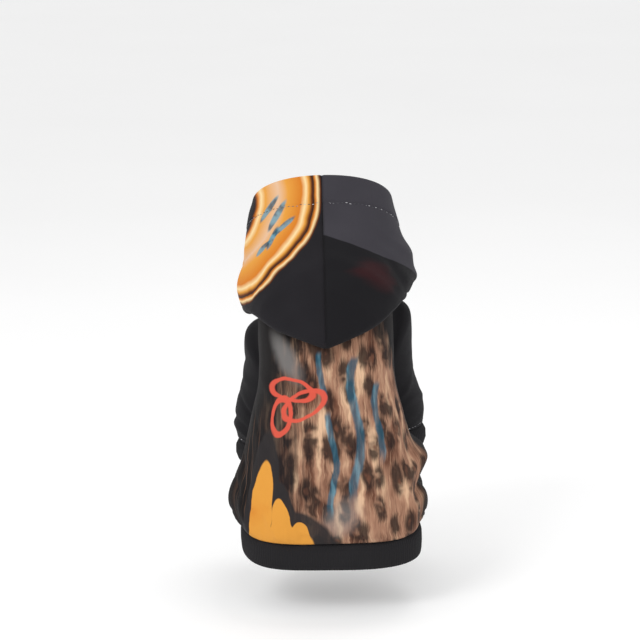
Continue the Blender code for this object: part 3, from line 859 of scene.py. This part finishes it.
def across_and_down(tree, flat):
    """The two numbers of a place on the map."""
    parts = add_node(tree, "SeparateXYZ")
    feed(tree, parts.inputs["Vector"], flat)
    return parts.outputs["X"], parts.outputs["Y"]


def paint(tree, under, over, mask, strength=1.0):
    """Colour over on colour under, at this strength where the mask is 1."""
    if strength < 1.0:
        mask = reckon(tree, "MULTIPLY", mask, strength)
    node = add_node(tree, "Mix", data_type="RGBA")
    feed(tree, node.inputs["Factor"], mask)
    feed(tree, node.inputs[COLOUR_A], under)
    feed(tree, node.inputs[COLOUR_B], over)
    return node.outputs[MIXED_COLOUR]


def colour(hexcode):
    """A web colour as the linear values that a shader takes."""
    parts = [int(hexcode[i : i + 2], 16) / 255 for i in (1, 3, 5)]
    return tuple((p / 12.92 if p <= 0.04045 else ((p + 0.055) / 1.055) ** 2.4) for p in parts) + (1.0,)


def cloudy(tree, place, size, detail=2.0, seed=0.0, roughness=0.5):
    """Soft noise from 0 to 1 with patches of about this size."""
    node = add_node(tree, "TexNoise", noise_dimensions="4D")
    feed(tree, node.inputs["Vector"], place)
    node.inputs["W"].default_value = seed
    node.inputs["Scale"].default_value = 1.0 / size
    node.inputs["Detail"].default_value = detail
    node.inputs["Roughness"].default_value = roughness
    return node.outputs["Fac"]


def new_finish(name, roughness=0.85, sheen=0.03):
    material = bpy.data.materials.new(name)
    material.use_nodes = True
    tree = material.node_tree
    shader = tree.nodes["Principled BSDF"]
    shader.inputs["Roughness"].default_value = roughness
    shader.inputs["Specular IOR Level"].default_value = CLOTH_SPECULAR
    shader.inputs["Sheen Weight"].default_value = sheen
    shader.inputs["Sheen Roughness"].default_value = CLOTH_SHEEN_ROUGHNESS
    return material, tree, shader


# %% [markdown]
# The knit itself is a fine net of loops, about a millimetre wide. Two crossing waves on the cloth's own UV map
# make it, and small noise breaks it up like the nap of a worn sweatshirt.

# %% Knit surface
KNIT_PITCH, KNIT_LENGTH, KNIT_DEPTH = 0.0011, 1.3, 0.0004
NAP_SIZE = 0.0035


def knit(tree, shader, strength=0.35):
    flat = add_node(tree, "UVMap", uv_map="UVMap").outputs["UV"]
    waves = []
    for way, pitch in zip(across_and_down(tree, flat), (KNIT_PITCH, KNIT_LENGTH * KNIT_PITCH)):
        wave = reckon(tree, "SINE", reckon(tree, "MULTIPLY", way, 2 * math.pi / pitch))
        waves.append(reckon(tree, "ABSOLUTE", wave))
    loops = reckon(tree, "MULTIPLY", *waves)
    place = add_node(tree, "TexCoord").outputs["Object"]
    nap = cloudy(tree, place, NAP_SIZE, detail=4.0, roughness=0.65)
    height = reckon(tree, "ADD", reckon(tree, "MULTIPLY", loops, 0.5), nap)
    bump = add_node(tree, "Bump")
    bump.inputs["Strength"].default_value = strength
    bump.inputs["Distance"].default_value = KNIT_DEPTH
    feed(tree, bump.inputs["Height"], height)
    feed(tree, shader.inputs["Normal"], bump.outputs["Normal"])
    return flat


# %% [markdown]
# The print is a loose street-style design of brush marks on spotted fur. It is worked out from simple shapes: an
# ellipse is the distance from its middle after turning and stretching the map, a ring is the same with a hole,
# and a ribbon is a band round a wave. Noise wobbles the map first, so that the edges look sprayed.

# %% Print shapes
INK = {
    "charcoal": colour("#242226"),
    "soot": colour("#18171a"),
    "slate": colour("#3f3d43"),
    "tan": colour("#a67c64"),
    "fawn": colour("#dfb896"),
    "umber": colour("#6b4636"),
    "bark": colour("#221817"),
    "teal": colour("#215064"),
    "sky": colour("#6297aa"),
    "coral": colour("#db5947"),
    "amber": colour("#de9a40"),
    "orange": colour("#d07a26"),
    "cream": colour("#f2d6a0"),
    "rust": colour("#6a3512"),
    "smoke": colour("#8d8a88"),
    "wine": colour("#47191c"),
}


def wobbled(tree, flat, size, amount, seed=0.0):
    """The map with its places pushed about by noise."""
    texture = add_node(tree, "TexNoise", noise_dimensions="4D")
    feed(tree, texture.inputs["Vector"], flat)
    texture.inputs["W"].default_value = seed
    texture.inputs["Scale"].default_value = 1.0 / size
    texture.inputs["Detail"].default_value = 2.0
    centred = add_node(tree, "VectorMath", operation="SUBTRACT")
    feed(tree, centred.inputs[0], texture.outputs["Color"])
    centred.inputs[1].default_value = (0.5, 0.5, 0.5)
    scaled = add_node(tree, "VectorMath", operation="SCALE")
    feed(tree, scaled.inputs[0], centred.outputs["Vector"])
    scaled.inputs["Scale"].default_value = amount
    moved = add_node(tree, "VectorMath", operation="ADD")
    feed(tree, moved.inputs[0], flat)
    feed(tree, moved.inputs[1], scaled.outputs["Vector"])
    return moved.outputs["Vector"]


def oval(tree, flat, centre, size, turn=0.0):
    """Distance from the middle of an ellipse: 1 on its line."""
    placed = add_node(tree, "Mapping", vector_type="TEXTURE")
    feed(tree, placed.inputs["Vector"], flat)
    placed.inputs["Location"].default_value = (*centre, 0.0)
    placed.inputs["Rotation"].default_value = (0.0, 0.0, math.radians(turn))
    placed.inputs["Scale"].default_value = (*size, 1.0)
    length = add_node(tree, "VectorMath", operation="LENGTH")
    feed(tree, length.inputs[0], placed.outputs["Vector"])
    return length.outputs["Value"]


def patch(tree, flat, centre, size, turn=0.0, soft=0.2):
    return soft_step(tree, oval(tree, flat, centre, size, turn), 1.0 + soft / 2, 1.0 - soft / 2)


def hoop(tree, flat, centre, size, turn=0.0, width=0.2, soft=0.1):
    off = reckon(tree, "ABSOLUTE", reckon(tree, "SUBTRACT", oval(tree, flat, centre, size, turn), 1.0))
    return soft_step(tree, off, width + soft / 2, width - soft / 2)


def ribbon(tree, flat, top, bottom, middle, swing, pitch, width, phase=0.0):
    """An upright wavy band from top to bottom of the map."""
    across, down = across_and_down(tree, flat)
    angle = reckon(tree, "MULTIPLY_ADD", down, 2 * math.pi / pitch, phase)
    wave = reckon(tree, "MULTIPLY_ADD", reckon(tree, "SINE", angle), swing, middle)
    off = reckon(tree, "ABSOLUTE", reckon(tree, "SUBTRACT", across, wave))
    band = soft_step(tree, off, width * 0.66, width * 0.34)
    below_top = soft_step(tree, down, top - 0.004, top + 0.004)
    above_bottom = soft_step(tree, down, bottom + 0.012, bottom - 0.012)
    return reckon(tree, "MULTIPLY", band, reckon(tree, "MULTIPLY", below_top, above_bottom))


def ramp(tree, value, stops):
    node = add_node(tree, "ValToRGB")
    feed(tree, node.inputs["Fac"], value)
    while len(node.color_ramp.elements) < len(stops):
        node.color_ramp.elements.new(0.5)
    for element, (place, ink) in zip(node.color_ramp.elements, stops):
        element.position = place
        element.color = INK[ink]
    return node.outputs["Color"]


# %% [markdown]
# Spotted fur: each cell of a Voronoi texture is a soft dark spot, and some spots have a brown middle. The map is
# stretched so that the spots run down the back. Noise stretched much further makes the strands of hair, light and
# dark, and larger patches of it turn the ground from fawn to brown.

# %% Spotted fur
SPOT_WIDTH, SPOT_LENGTH = 0.0165, 0.0340
PATCH_WIDTH, PATCH_LENGTH = 0.015, 0.060
STRAND_WIDTH, STRAND_LENGTH = 0.0016, 0.028


def stretched(tree, flat, across, down):
    """The map in units of a cell's width and height, for patterns longer one way than the other."""
    node = add_node(tree, "Mapping", vector_type="POINT")
    feed(tree, node.inputs["Vector"], flat)
    node.inputs["Scale"].default_value = (1 / across, 1 / down, 1.0)
    return node.outputs["Vector"]


def streaky(tree, flat, across, down, detail=2.0, seed=0.0):
    """Noise from 0 to 1 in streaks of about this width and height."""
    return cloudy(tree, stretched(tree, flat, across, down), 1.0, detail, seed)


def fur_spots(tree, flat):
    loose = wobbled(tree, flat, 0.013, 0.007, seed=3.0)
    cells = add_node(tree, "TexVoronoi", voronoi_dimensions="2D", feature="SMOOTH_F1")
    feed(tree, cells.inputs["Vector"], stretched(tree, loose, SPOT_WIDTH, SPOT_LENGTH))
    cells.inputs["Scale"].default_value = 1.0
    cells.inputs["Smoothness"].default_value = 0.30
    cells.inputs["Randomness"].default_value = 0.9
    patches = streaky(tree, loose, PATCH_WIDTH, PATCH_LENGTH, detail=3.0, seed=1.0)
    ground = paint(tree, INK["tan"], INK["fawn"], soft_step(tree, patches, 0.50, 0.66))
    ground = paint(tree, ground, INK["umber"], soft_step(tree, patches, 0.52, 0.36))
    strands = streaky(tree, loose, STRAND_WIDTH, STRAND_LENGTH, seed=7.0)
    ground = paint(tree, ground, INK["fawn"], soft_step(tree, strands, 0.52, 0.74), 0.40)
    ground = paint(tree, ground, INK["bark"], soft_step(tree, strands, 0.48, 0.28), 0.45)
    ragged = reckon(tree, "MULTIPLY_ADD", strands, 0.30, cells.outputs["Distance"])
    uneven = soft_step(tree, cloudy(tree, flat, 0.018, seed=5.0), 0.28, 0.48)
    spot = reckon(tree, "MULTIPLY", soft_step(tree, ragged, 0.70, 0.38), uneven)
    fur = paint(tree, ground, INK["bark"], spot, 0.88)
    hollow = soft_step(tree, cloudy(tree, flat, 0.020, seed=12.0), 0.50, 0.62)
    middle = reckon(tree, "MULTIPLY", soft_step(tree, ragged, 0.36, 0.22), hollow)
    return paint(tree, fur, INK["umber"], middle, 0.9)


# %% [markdown]
# The fur covers the back but for its left side, which is nearly black. The border between them is an oval on a
# streaked map, so it is ragged. Towards it the fur grows dark in long strokes, and past it thin tan hairs run on
# over the left flank.

# %% Fur and dark ground


def back_ground(tree, flat, loose):
    dark = paint(tree, colour("#1f1b1b"), colour("#141213"), streaky(tree, flat, 0.03, 0.12, seed=2.0))
    streaks = wobbled(tree, stretched(tree, flat, 0.010, 0.050), 1.0, 1.5, seed=6.0)
    strokes = streaky(tree, loose, 0.0035, 0.080, detail=1.0, seed=17.0)
    dusk = reckon(tree, "MULTIPLY_ADD", strokes, 7.0, across_and_down(tree, streaks)[0])
    fur = paint(tree, fur_spots(tree, flat), INK["soot"], soft_step(tree, dusk, 2.4, -2.6), 0.88)
    hairs = soft_step(tree, streaky(tree, loose, 0.0030, 0.090, detail=1.0, seed=23.0), 0.53, 0.70)
    flank = patch(tree, loose, (-0.092, 0.310), (0.026, 0.075), turn=-8, soft=1.1)
    dark = paint(tree, dark, INK["tan"], reckon(tree, "MULTIPLY", hairs, flank), 0.50)
    field = oval(tree, streaks, (2.2, 6.0), (10.8, 3.3))
    return paint(tree, dark, fur, soft_step(tree, field, 1.12, 0.84))


# %% [markdown]
# Brush marks lie on this ground: two pale hazes, four upright wavy ribbons in teal and three coral loops. Their
# tables give places in metres across from the middle of the cut and down from its neckline.

# %% Brush marks
Haze = namedtuple("Haze", "centre size turn strength")
HAZES = (
    Haze((-0.046, 0.176), (0.010, 0.030), -30, 0.60),
    Haze((0.012, 0.352), (0.016, 0.022), 40, 0.45),
)
Ribbon = namedtuple("Ribbon", "top bottom middle swing pitch width phase")
RIBBONS = (
    Ribbon(0.180, 0.330, 0.030, 0.005, 0.120, 0.0095, 0.0),
    Ribbon(0.205, 0.285, 0.056, 0.004, 0.090, 0.0080, 1.2),
    Ribbon(0.240, 0.345, 0.004, 0.004, 0.100, 0.0065, 2.0),
    Ribbon(0.175, 0.225, -0.006, 0.003, 0.070, 0.0060, 0.6),
)
Loop = namedtuple("Loop", "centre size turn width")
LOOPS = (
    Loop((-0.040, 0.212), (0.026, 0.011), 18, 0.16),
    Loop((-0.026, 0.230), (0.024, 0.013), -24, 0.14),
    Loop((-0.052, 0.240), (0.012, 0.019), 10, 0.19),
)


def brush_marks(tree, base, loose):
    for haze in HAZES:
        mist = patch(tree, loose, haze.centre, haze.size, haze.turn, soft=1.2)
        base = paint(tree, base, INK["smoke"], mist, haze.strength)
    shade = soft_step(tree, streaky(tree, loose, 0.006, 0.040, seed=9.0), 0.45, 0.72)
    teal = paint(tree, INK["teal"], INK["sky"], shade)
    for row in RIBBONS:
        base = paint(tree, base, teal, ribbon(tree, loose, *row), 0.80)
    for loop in LOOPS:
        base = paint(tree, base, INK["coral"], hoop(tree, loose, *loop), 0.95)
    return base


# %% [markdown]
# Low on the left is a mound of amber with rounded tops and a dark edge. It is made of ovals: the smaller of their
# distances, taken smoothly, joins them into one shape, and a wider step of the same distance gives the dark edge.

# %% Amber mound and the back's print
Oval = namedtuple("Oval", "centre size turn")
MOUND = (
    Oval((-0.078, 0.345), (0.014, 0.060), 6),
    Oval((-0.053, 0.362), (0.011, 0.034), -4),
    Oval((-0.033, 0.372), (0.010, 0.017), 0),
    Oval((-0.060, 0.392), (0.044, 0.034), 0),
)
MOUND_BLEND = 0.18


def amber_mound(tree, base, flat, loose):
    near = oval(tree, loose, *MOUND[0])
    for row in MOUND[1:]:
        near = reckon(tree, "SMOOTH_MIN", near, oval(tree, loose, *row), MOUND_BLEND)
    base = paint(tree, base, colour("#2d2a2b"), soft_step(tree, near, 1.62, 1.46), 0.94)
    warmer = soft_step(tree, cloudy(tree, flat, 0.05, seed=4.0), 0.5, 0.9)
    amber = paint(tree, INK["amber"], INK["orange"], warmer)
    worn = soft_step(tree, cloudy(tree, flat, 0.0030, detail=3.0, seed=14.0), 0.70, 0.76)
    amber = paint(tree, amber, INK["rust"], worn, 0.7)
    return paint(tree, base, amber, soft_step(tree, near, 1.03, 0.97))


def finish_back():
    material, tree, shader = new_finish("print_on_back")
    flat = knit(tree, shader)
    loose = wobbled(tree, flat, 0.02, 0.006, seed=11.0)
    base = brush_marks(tree, back_ground(tree, flat, loose), loose)
    feed(tree, shader.inputs["Base Color"], amber_mound(tree, base, flat, loose))
    return material


print_on_back = finish_back()
print("nodes in the back's print:", len(print_on_back.node_tree.nodes))

# %% [markdown]
# The two halves of the hood have unlike prints. The left has airbrushed amber bands that sweep from its edge down
# to the side: the distance from one point, through a row of colours, shades all the bands at once. Five dabs of
# teal lie on them. The right is plain slate above a bent line, and darker below it, with a faint wine smear.

# %% The hood's prints
AMBER_BANDS = (
    (0.20, "soot"), (0.225, "rust"), (0.26, "orange"), (0.31, "cream"), (0.37, "amber"), (0.52, "fawn"),
    (0.62, "amber"), (0.76, "orange"), (0.805, "cream"), (0.835, "amber"), (0.865, "rust"), (0.885, "soot"),
    (0.905, "orange"), (0.925, "cream"), (0.95, "rust"), (0.965, "soot"),
)
DABS = (
    Oval((-0.062, 0.030), (0.017, 0.0036), -48),
    Oval((-0.052, 0.040), (0.020, 0.0040), -56),
    Oval((-0.046, 0.056), (0.019, 0.0034), -40),
    Oval((-0.058, 0.068), (0.016, 0.0038), -62),
    Oval((-0.072, 0.078), (0.015, 0.0034), -30),
)
SLATE_REACH, SLATE_SLOPE, SLATE_BEND = 0.092, 0.46, -2.5


def finish_hood_left():
    material, tree, shader = new_finish("print_on_left_hood")
    flat = knit(tree, shader)
    loose = wobbled(tree, flat, 0.035, 0.007, seed=21.0)
    base = paint(tree, INK["charcoal"], INK["soot"], cloudy(tree, flat, 0.05, seed=2.0))
    far = oval(tree, loose, (-0.108, 0.018), (0.112, 0.118))
    begun, ended = soft_step(tree, far, 0.195, 0.205), soft_step(tree, far, 0.968, 0.960)
    base = paint(tree, base, ramp(tree, far, AMBER_BANDS), reckon(tree, "MULTIPLY", begun, ended))
    shade = soft_step(tree, cloudy(tree, flat, 0.012, seed=9.0), 0.35, 0.6)
    teal = paint(tree, INK["teal"], INK["sky"], shade)
    for row in DABS:
        base = paint(tree, base, teal, patch(tree, loose, *row, soft=0.35), 0.85)
    feed(tree, shader.inputs["Base Color"], base)
    return material


def finish_hood_right():
    material, tree, shader = new_finish("print_on_right_hood")
    flat = knit(tree, shader)
    across, down = across_and_down(tree, flat)
    base = paint(tree, INK["slate"], colour("#36343a"), cloudy(tree, flat, 0.05, seed=3.0))
    reach = reckon(tree, "MINIMUM", across, SLATE_REACH)
    slope = reckon(tree, "MULTIPLY_ADD", reach, SLATE_BEND, SLATE_SLOPE)
    line = reckon(tree, "SUBTRACT", down, reckon(tree, "MULTIPLY", slope, reach))
    lower = soft_step(tree, line, 0.0698, 0.0712)
    base = paint(tree, base, INK["soot"], lower)
    loose = wobbled(tree, stretched(tree, flat, 0.05, 0.012), 1.0, 1.0, seed=31.0)
    smear = soft_step(tree, oval(tree, loose, (1.25, 9.6), (0.75, 1.5)), 1.15, 0.35)
    base = paint(tree, base, INK["wine"], reckon(tree, "MULTIPLY", smear, lower), 0.40)
    feed(tree, shader.inputs["Base Color"], base)
    return material


# %% [markdown]
# The other finishes are one cloth colour with a soft cloudiness: the sleeves, the ribbing, the belly, and the
# brushed inner face of every piece, which is paler and rougher.

# %% Plain finishes


def finish_plain(name, ink, other, roughness=0.85, sheen=0.03, strength=0.35):
    material, tree, shader = new_finish(name, roughness, sheen)
    knit(tree, shader, strength)
    place = add_node(tree, "TexCoord").outputs["Object"]
    base = paint(tree, colour(ink), colour(other), cloudy(tree, place, 0.03, detail=4.0))
    feed(tree, shader.inputs["Base Color"], base)
    return material


sleeve_finish = finish_plain("dark_sleeve_knit", "#222124", "#1a191b")
rib_finish = finish_plain("black_rib", "#262527", "#1f1e20", roughness=0.9, strength=0.25)
inside_finish = finish_plain("brushed_inside", "#4b4a4d", "#3f3e41", roughness=0.95, sheen=0.2, strength=0.8)
belly_finish = finish_plain("belly_knit", "#242325", "#1b1a1c")
hood_finishes = {"left": finish_hood_left(), "right": finish_hood_right()}

# %% [markdown]
# ## Stitches
# A light thread runs along the hood's hem, and round the sleeves just above the cuffs. One stitch is a small
# sphere drawn out long. It is copied along a line on the cloth, each copy turned to lie in the line and sunk
# about half into the cloth. The thread fades in places, as it does where stitches sink in.

# %% Rows of stitches
STITCH_LENGTH, STITCH_PITCH, THREAD, STITCH_LIFT = 0.0026, 0.0046, 0.00036, 0.45
SLEEVE_STITCH_ROW, HOOD_STITCH_SKIP = -5, 0.004

bpy.ops.object.select_all(action="DESELECT")
bpy.ops.mesh.primitive_uv_sphere_add(segments=8, ring_count=6, radius=1.0)
one_stitch = bpy.context.object
stitch_points = np.array([v.co[:] for v in one_stitch.data.vertices])
stitch_faces = sorted(tuple(face.vertices) for face in one_stitch.data.polygons)  # else their order varies
bpy.data.objects.remove(one_stitch, do_unlink=True)


def stitch_row(name, line, normals, skip=0.0):
    """Stitches along a line of points on the cloth, from skip after its start to skip before its end."""
    run = lengths_along(line, 0)

    def at(distance, values):
        return np.array([np.interp(distance, run, values[:, axis]) for axis in range(3)])

    points, faces = [], []
    for start in np.arange(skip + STITCH_PITCH / 2, run[-1] - skip, STITCH_PITCH):
        middle = at(start, line)
        ahead = unit(at(start + STITCH_LENGTH / 2, line) - at(start - STITCH_LENGTH / 2, line))
        up = unit(at(start, normals))
        side = np.cross(up, ahead)
        shape = stitch_points * [THREAD, THREAD, STITCH_LENGTH / 2]
        place = middle + up * THREAD * STITCH_LIFT
        points.append(place + shape[:, [0]] * side + shape[:, [1]] * up + shape[:, [2]] * ahead)
        faces += [tuple(i + (len(points) - 1) * len(stitch_points) for i in face) for face in stitch_faces]
    mesh = bpy.data.meshes.new(name)
    mesh.from_pydata(np.concatenate(points).tolist(), [], faces)
    mesh.shade_smooth()
    piece = bpy.data.objects.new(name, mesh)
    bpy.context.scene.collection.objects.link(piece)
    return piece


thread_finish, tree, shader = new_finish("light_thread", 0.6, 0.1)
fuzz = cloudy(tree, add_node(tree, "TexCoord").outputs["Object"], 0.006)
thread_ink = paint(tree, colour("#4c4b50"), colour("#c4c3c6"), soft_step(tree, fuzz, 0.48, 0.60))
feed(tree, shader.inputs["Base Color"], thread_ink)

stitch_rows = []
for arm in ARMS:
    points, flat = hoods[arm.word]
    row = RIM_ROW - np.argmax(flat[RIM_ROW::-1, :, 1] >= HEM_WIDTH, axis=0)
    columns = np.arange(points.shape[1])
    line, normals = points[row, columns], cloth_normals(points)[row, columns]
    stitch_rows.append(stitch_row("hood_hem_stitches_" + arm.word, line, normals, HOOD_STITCH_SKIP))
    points, _ = sleeves[arm.word]
    line, normals = points[SLEEVE_STITCH_ROW], cloth_normals(points)[SLEEVE_STITCH_ROW]
    stitch_rows.append(stitch_row("sleeve_stitches_" + arm.word, line, normals))
print("stitch rows:", [piece.name for piece in stitch_rows])

# %% Put the finishes on
for piece, finish in (
    (back_cloth, print_on_back),
    (belly_cloth, belly_finish),
    *((piece, sleeve_finish) for piece in sleeve_cloths.values()),
    *((piece, hood_finishes[word]) for word, piece in hood_cloths.items()),
):
    piece.data.materials.append(finish)
    piece.data.materials.append(inside_finish)
for piece in (waist_cloth, *cuff_cloths.values()):
    piece.data.materials.append(rib_finish)
for piece in stitch_rows:
    piece.data.materials.append(thread_finish)

# %% [markdown]
# ## Stage, light and camera
# The hoodie is shown as worn, so it hangs in the air over a pale floor. A large soft light high on the left, a
# weaker one on the right and a bright world give even studio light. The camera looks a little down on the back.
# A point at the neckline is put on its row and column of the picture, and the camera is rolled a little, because
# the hoodie leans.

# %% Stage, light and camera
FLOOR_DROP, FLOOR_SIZE, FLOOR_GLOW = 0.050, 40.0, 0.16
WORLD_STRENGTH = 0.80
WHITE = (1.0, 1.0, 1.0, 1.0)
bpy.ops.object.select_all(action="DESELECT")
bpy.ops.mesh.primitive_plane_add(size=FLOOR_SIZE, location=(0.0, 0.0, cad_box[0][2] - FLOOR_DROP))
floor = bpy.context.object
floor.name = "floor"
floor_finish, tree, shader = new_finish("pale_floor", 0.9, 0.0)
grain = cloudy(tree, add_node(tree, "TexCoord").outputs["Object"], 0.6)
feed(tree, shader.inputs["Base Color"], paint(tree, colour("#f4f4f4"), colour("#efefef"), grain))
shader.inputs["Emission Color"].default_value = WHITE
shader.inputs["Emission Strength"].default_value = FLOOR_GLOW
floor.data.materials.append(floor_finish)

world = bpy.data.worlds.new("studio")
bpy.context.scene.world = world
world.use_nodes = True
sky = world.node_tree.nodes["Background"]
sky.inputs["Color"].default_value = WHITE
sky.inputs["Strength"].default_value = WORLD_STRENGTH
bpy.context.scene.view_settings.view_transform = "Standard"


def area_light(name, place, aim, size, power):
    bpy.ops.object.light_add(type="AREA", location=place)
    light = bpy.context.object
    light.name = name
    light.data.size = size
    light.data.energy = power
    light.rotation_euler = (Vector(aim) - Vector(place)).to_track_quat("-Z", "Y").to_euler()


area_light("key_light", (-1.2, -1.4, 1.3), (0.0, 0.0, -0.2), 0.9, 15.0)
area_light("fill_light", (1.5, -1.2, 0.5), (0.0, 0.0, -0.2), 1.4, 3.5)
area_light("top_light", (0.3, 0.6, 1.6), (0.0, 0.0, -0.1), 1.0, 6.0)

# %% Camera
PHOTO_SIDE, PHOTO_FIELD, PHOTO_DISTANCE = 640, 0.691, 2.4
NECK_ROW, MIDDLE_COLUMN, HALF = 196, 325.3, 320
CAMERA_ELEVATION, HOODIE_LEAN = 12.0, 1.43
pixel = PHOTO_FIELD / PHOTO_SIDE
elevation = math.radians(CAMERA_ELEVATION)
towards = Vector((0.0, -math.cos(elevation), math.sin(elevation)))
upwards = Vector((0.0, math.sin(elevation), math.cos(elevation)))
aim = Vector(((HALF - MIDDLE_COLUMN) * pixel, 0.0, 0.0)) + upwards * ((NECK_ROW - HALF) * pixel)
bpy.ops.object.camera_add(location=aim + towards * PHOTO_DISTANCE)
camera = bpy.context.object
camera.name = "camera"
camera.data.sensor_width = 36.0
camera.data.lens = camera.data.sensor_width * PHOTO_DISTANCE / PHOTO_FIELD
camera.rotation_euler = (-towards).to_track_quat("-Z", "Y").to_euler()
camera.rotation_euler.rotate_axis("Z", math.radians(-HOODIE_LEAN))
bpy.context.scene.camera = camera
print("lens:", round(camera.data.lens, 1), "mm")

# %% [markdown]
# ## What stands for what
# Each cloth piece replaces its plain solid and rides on the one body of the frame. Each row of the table also
# gives a slot, the size of its flat cut, an area, how it is held and what it rests on, which nothing here uses.
# The stitches ride along.

# %% Hiding the solids and attaching the pieces
for piece, node, slot, flat, area, held, rests in (
    (back_cloth, "back_panel", "printed_cloth", (0.354, 0.387), 0.118, "draped", ["hood_cloth_left"]),
    (belly_cloth, "belly_panel", "printed_cloth", (0.261, 0.346), 0.066, "draped", ["back_cloth"]),
    (sleeve_cloths["left"], "sleeve_left", "sleeve_cloth", (0.240, 0.165), 0.028, "draped", ["back_cloth"]),
    (sleeve_cloths["right"], "sleeve_right", "sleeve_cloth", (0.240, 0.165), 0.028, "draped", ["back_cloth"]),
    (hood_cloths["left"], "hood_left", "hood_cloth", (0.280, 0.400), 0.080, "draped", ["back_cloth"]),
    (hood_cloths["right"], "hood_right", "hood_cloth", (0.280, 0.400), 0.080, "draped", ["back_cloth"]),
    (waist_cloth, "waistband", "rib", (0.570, 0.062), None, "stretched", ["back_cloth"]),
    (cuff_cloths["left"], "cuff_left", "rib", (0.190, 0.048), None, "stretched", ["sleeve_cloth_left"]),
    (cuff_cloths["right"], "cuff_right", "rib", (0.190, 0.048), None, "stretched", ["sleeve_cloth_right"]),
):
    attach(piece, "root")
    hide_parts(node)
for piece in stitch_rows:
    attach(piece, "root")
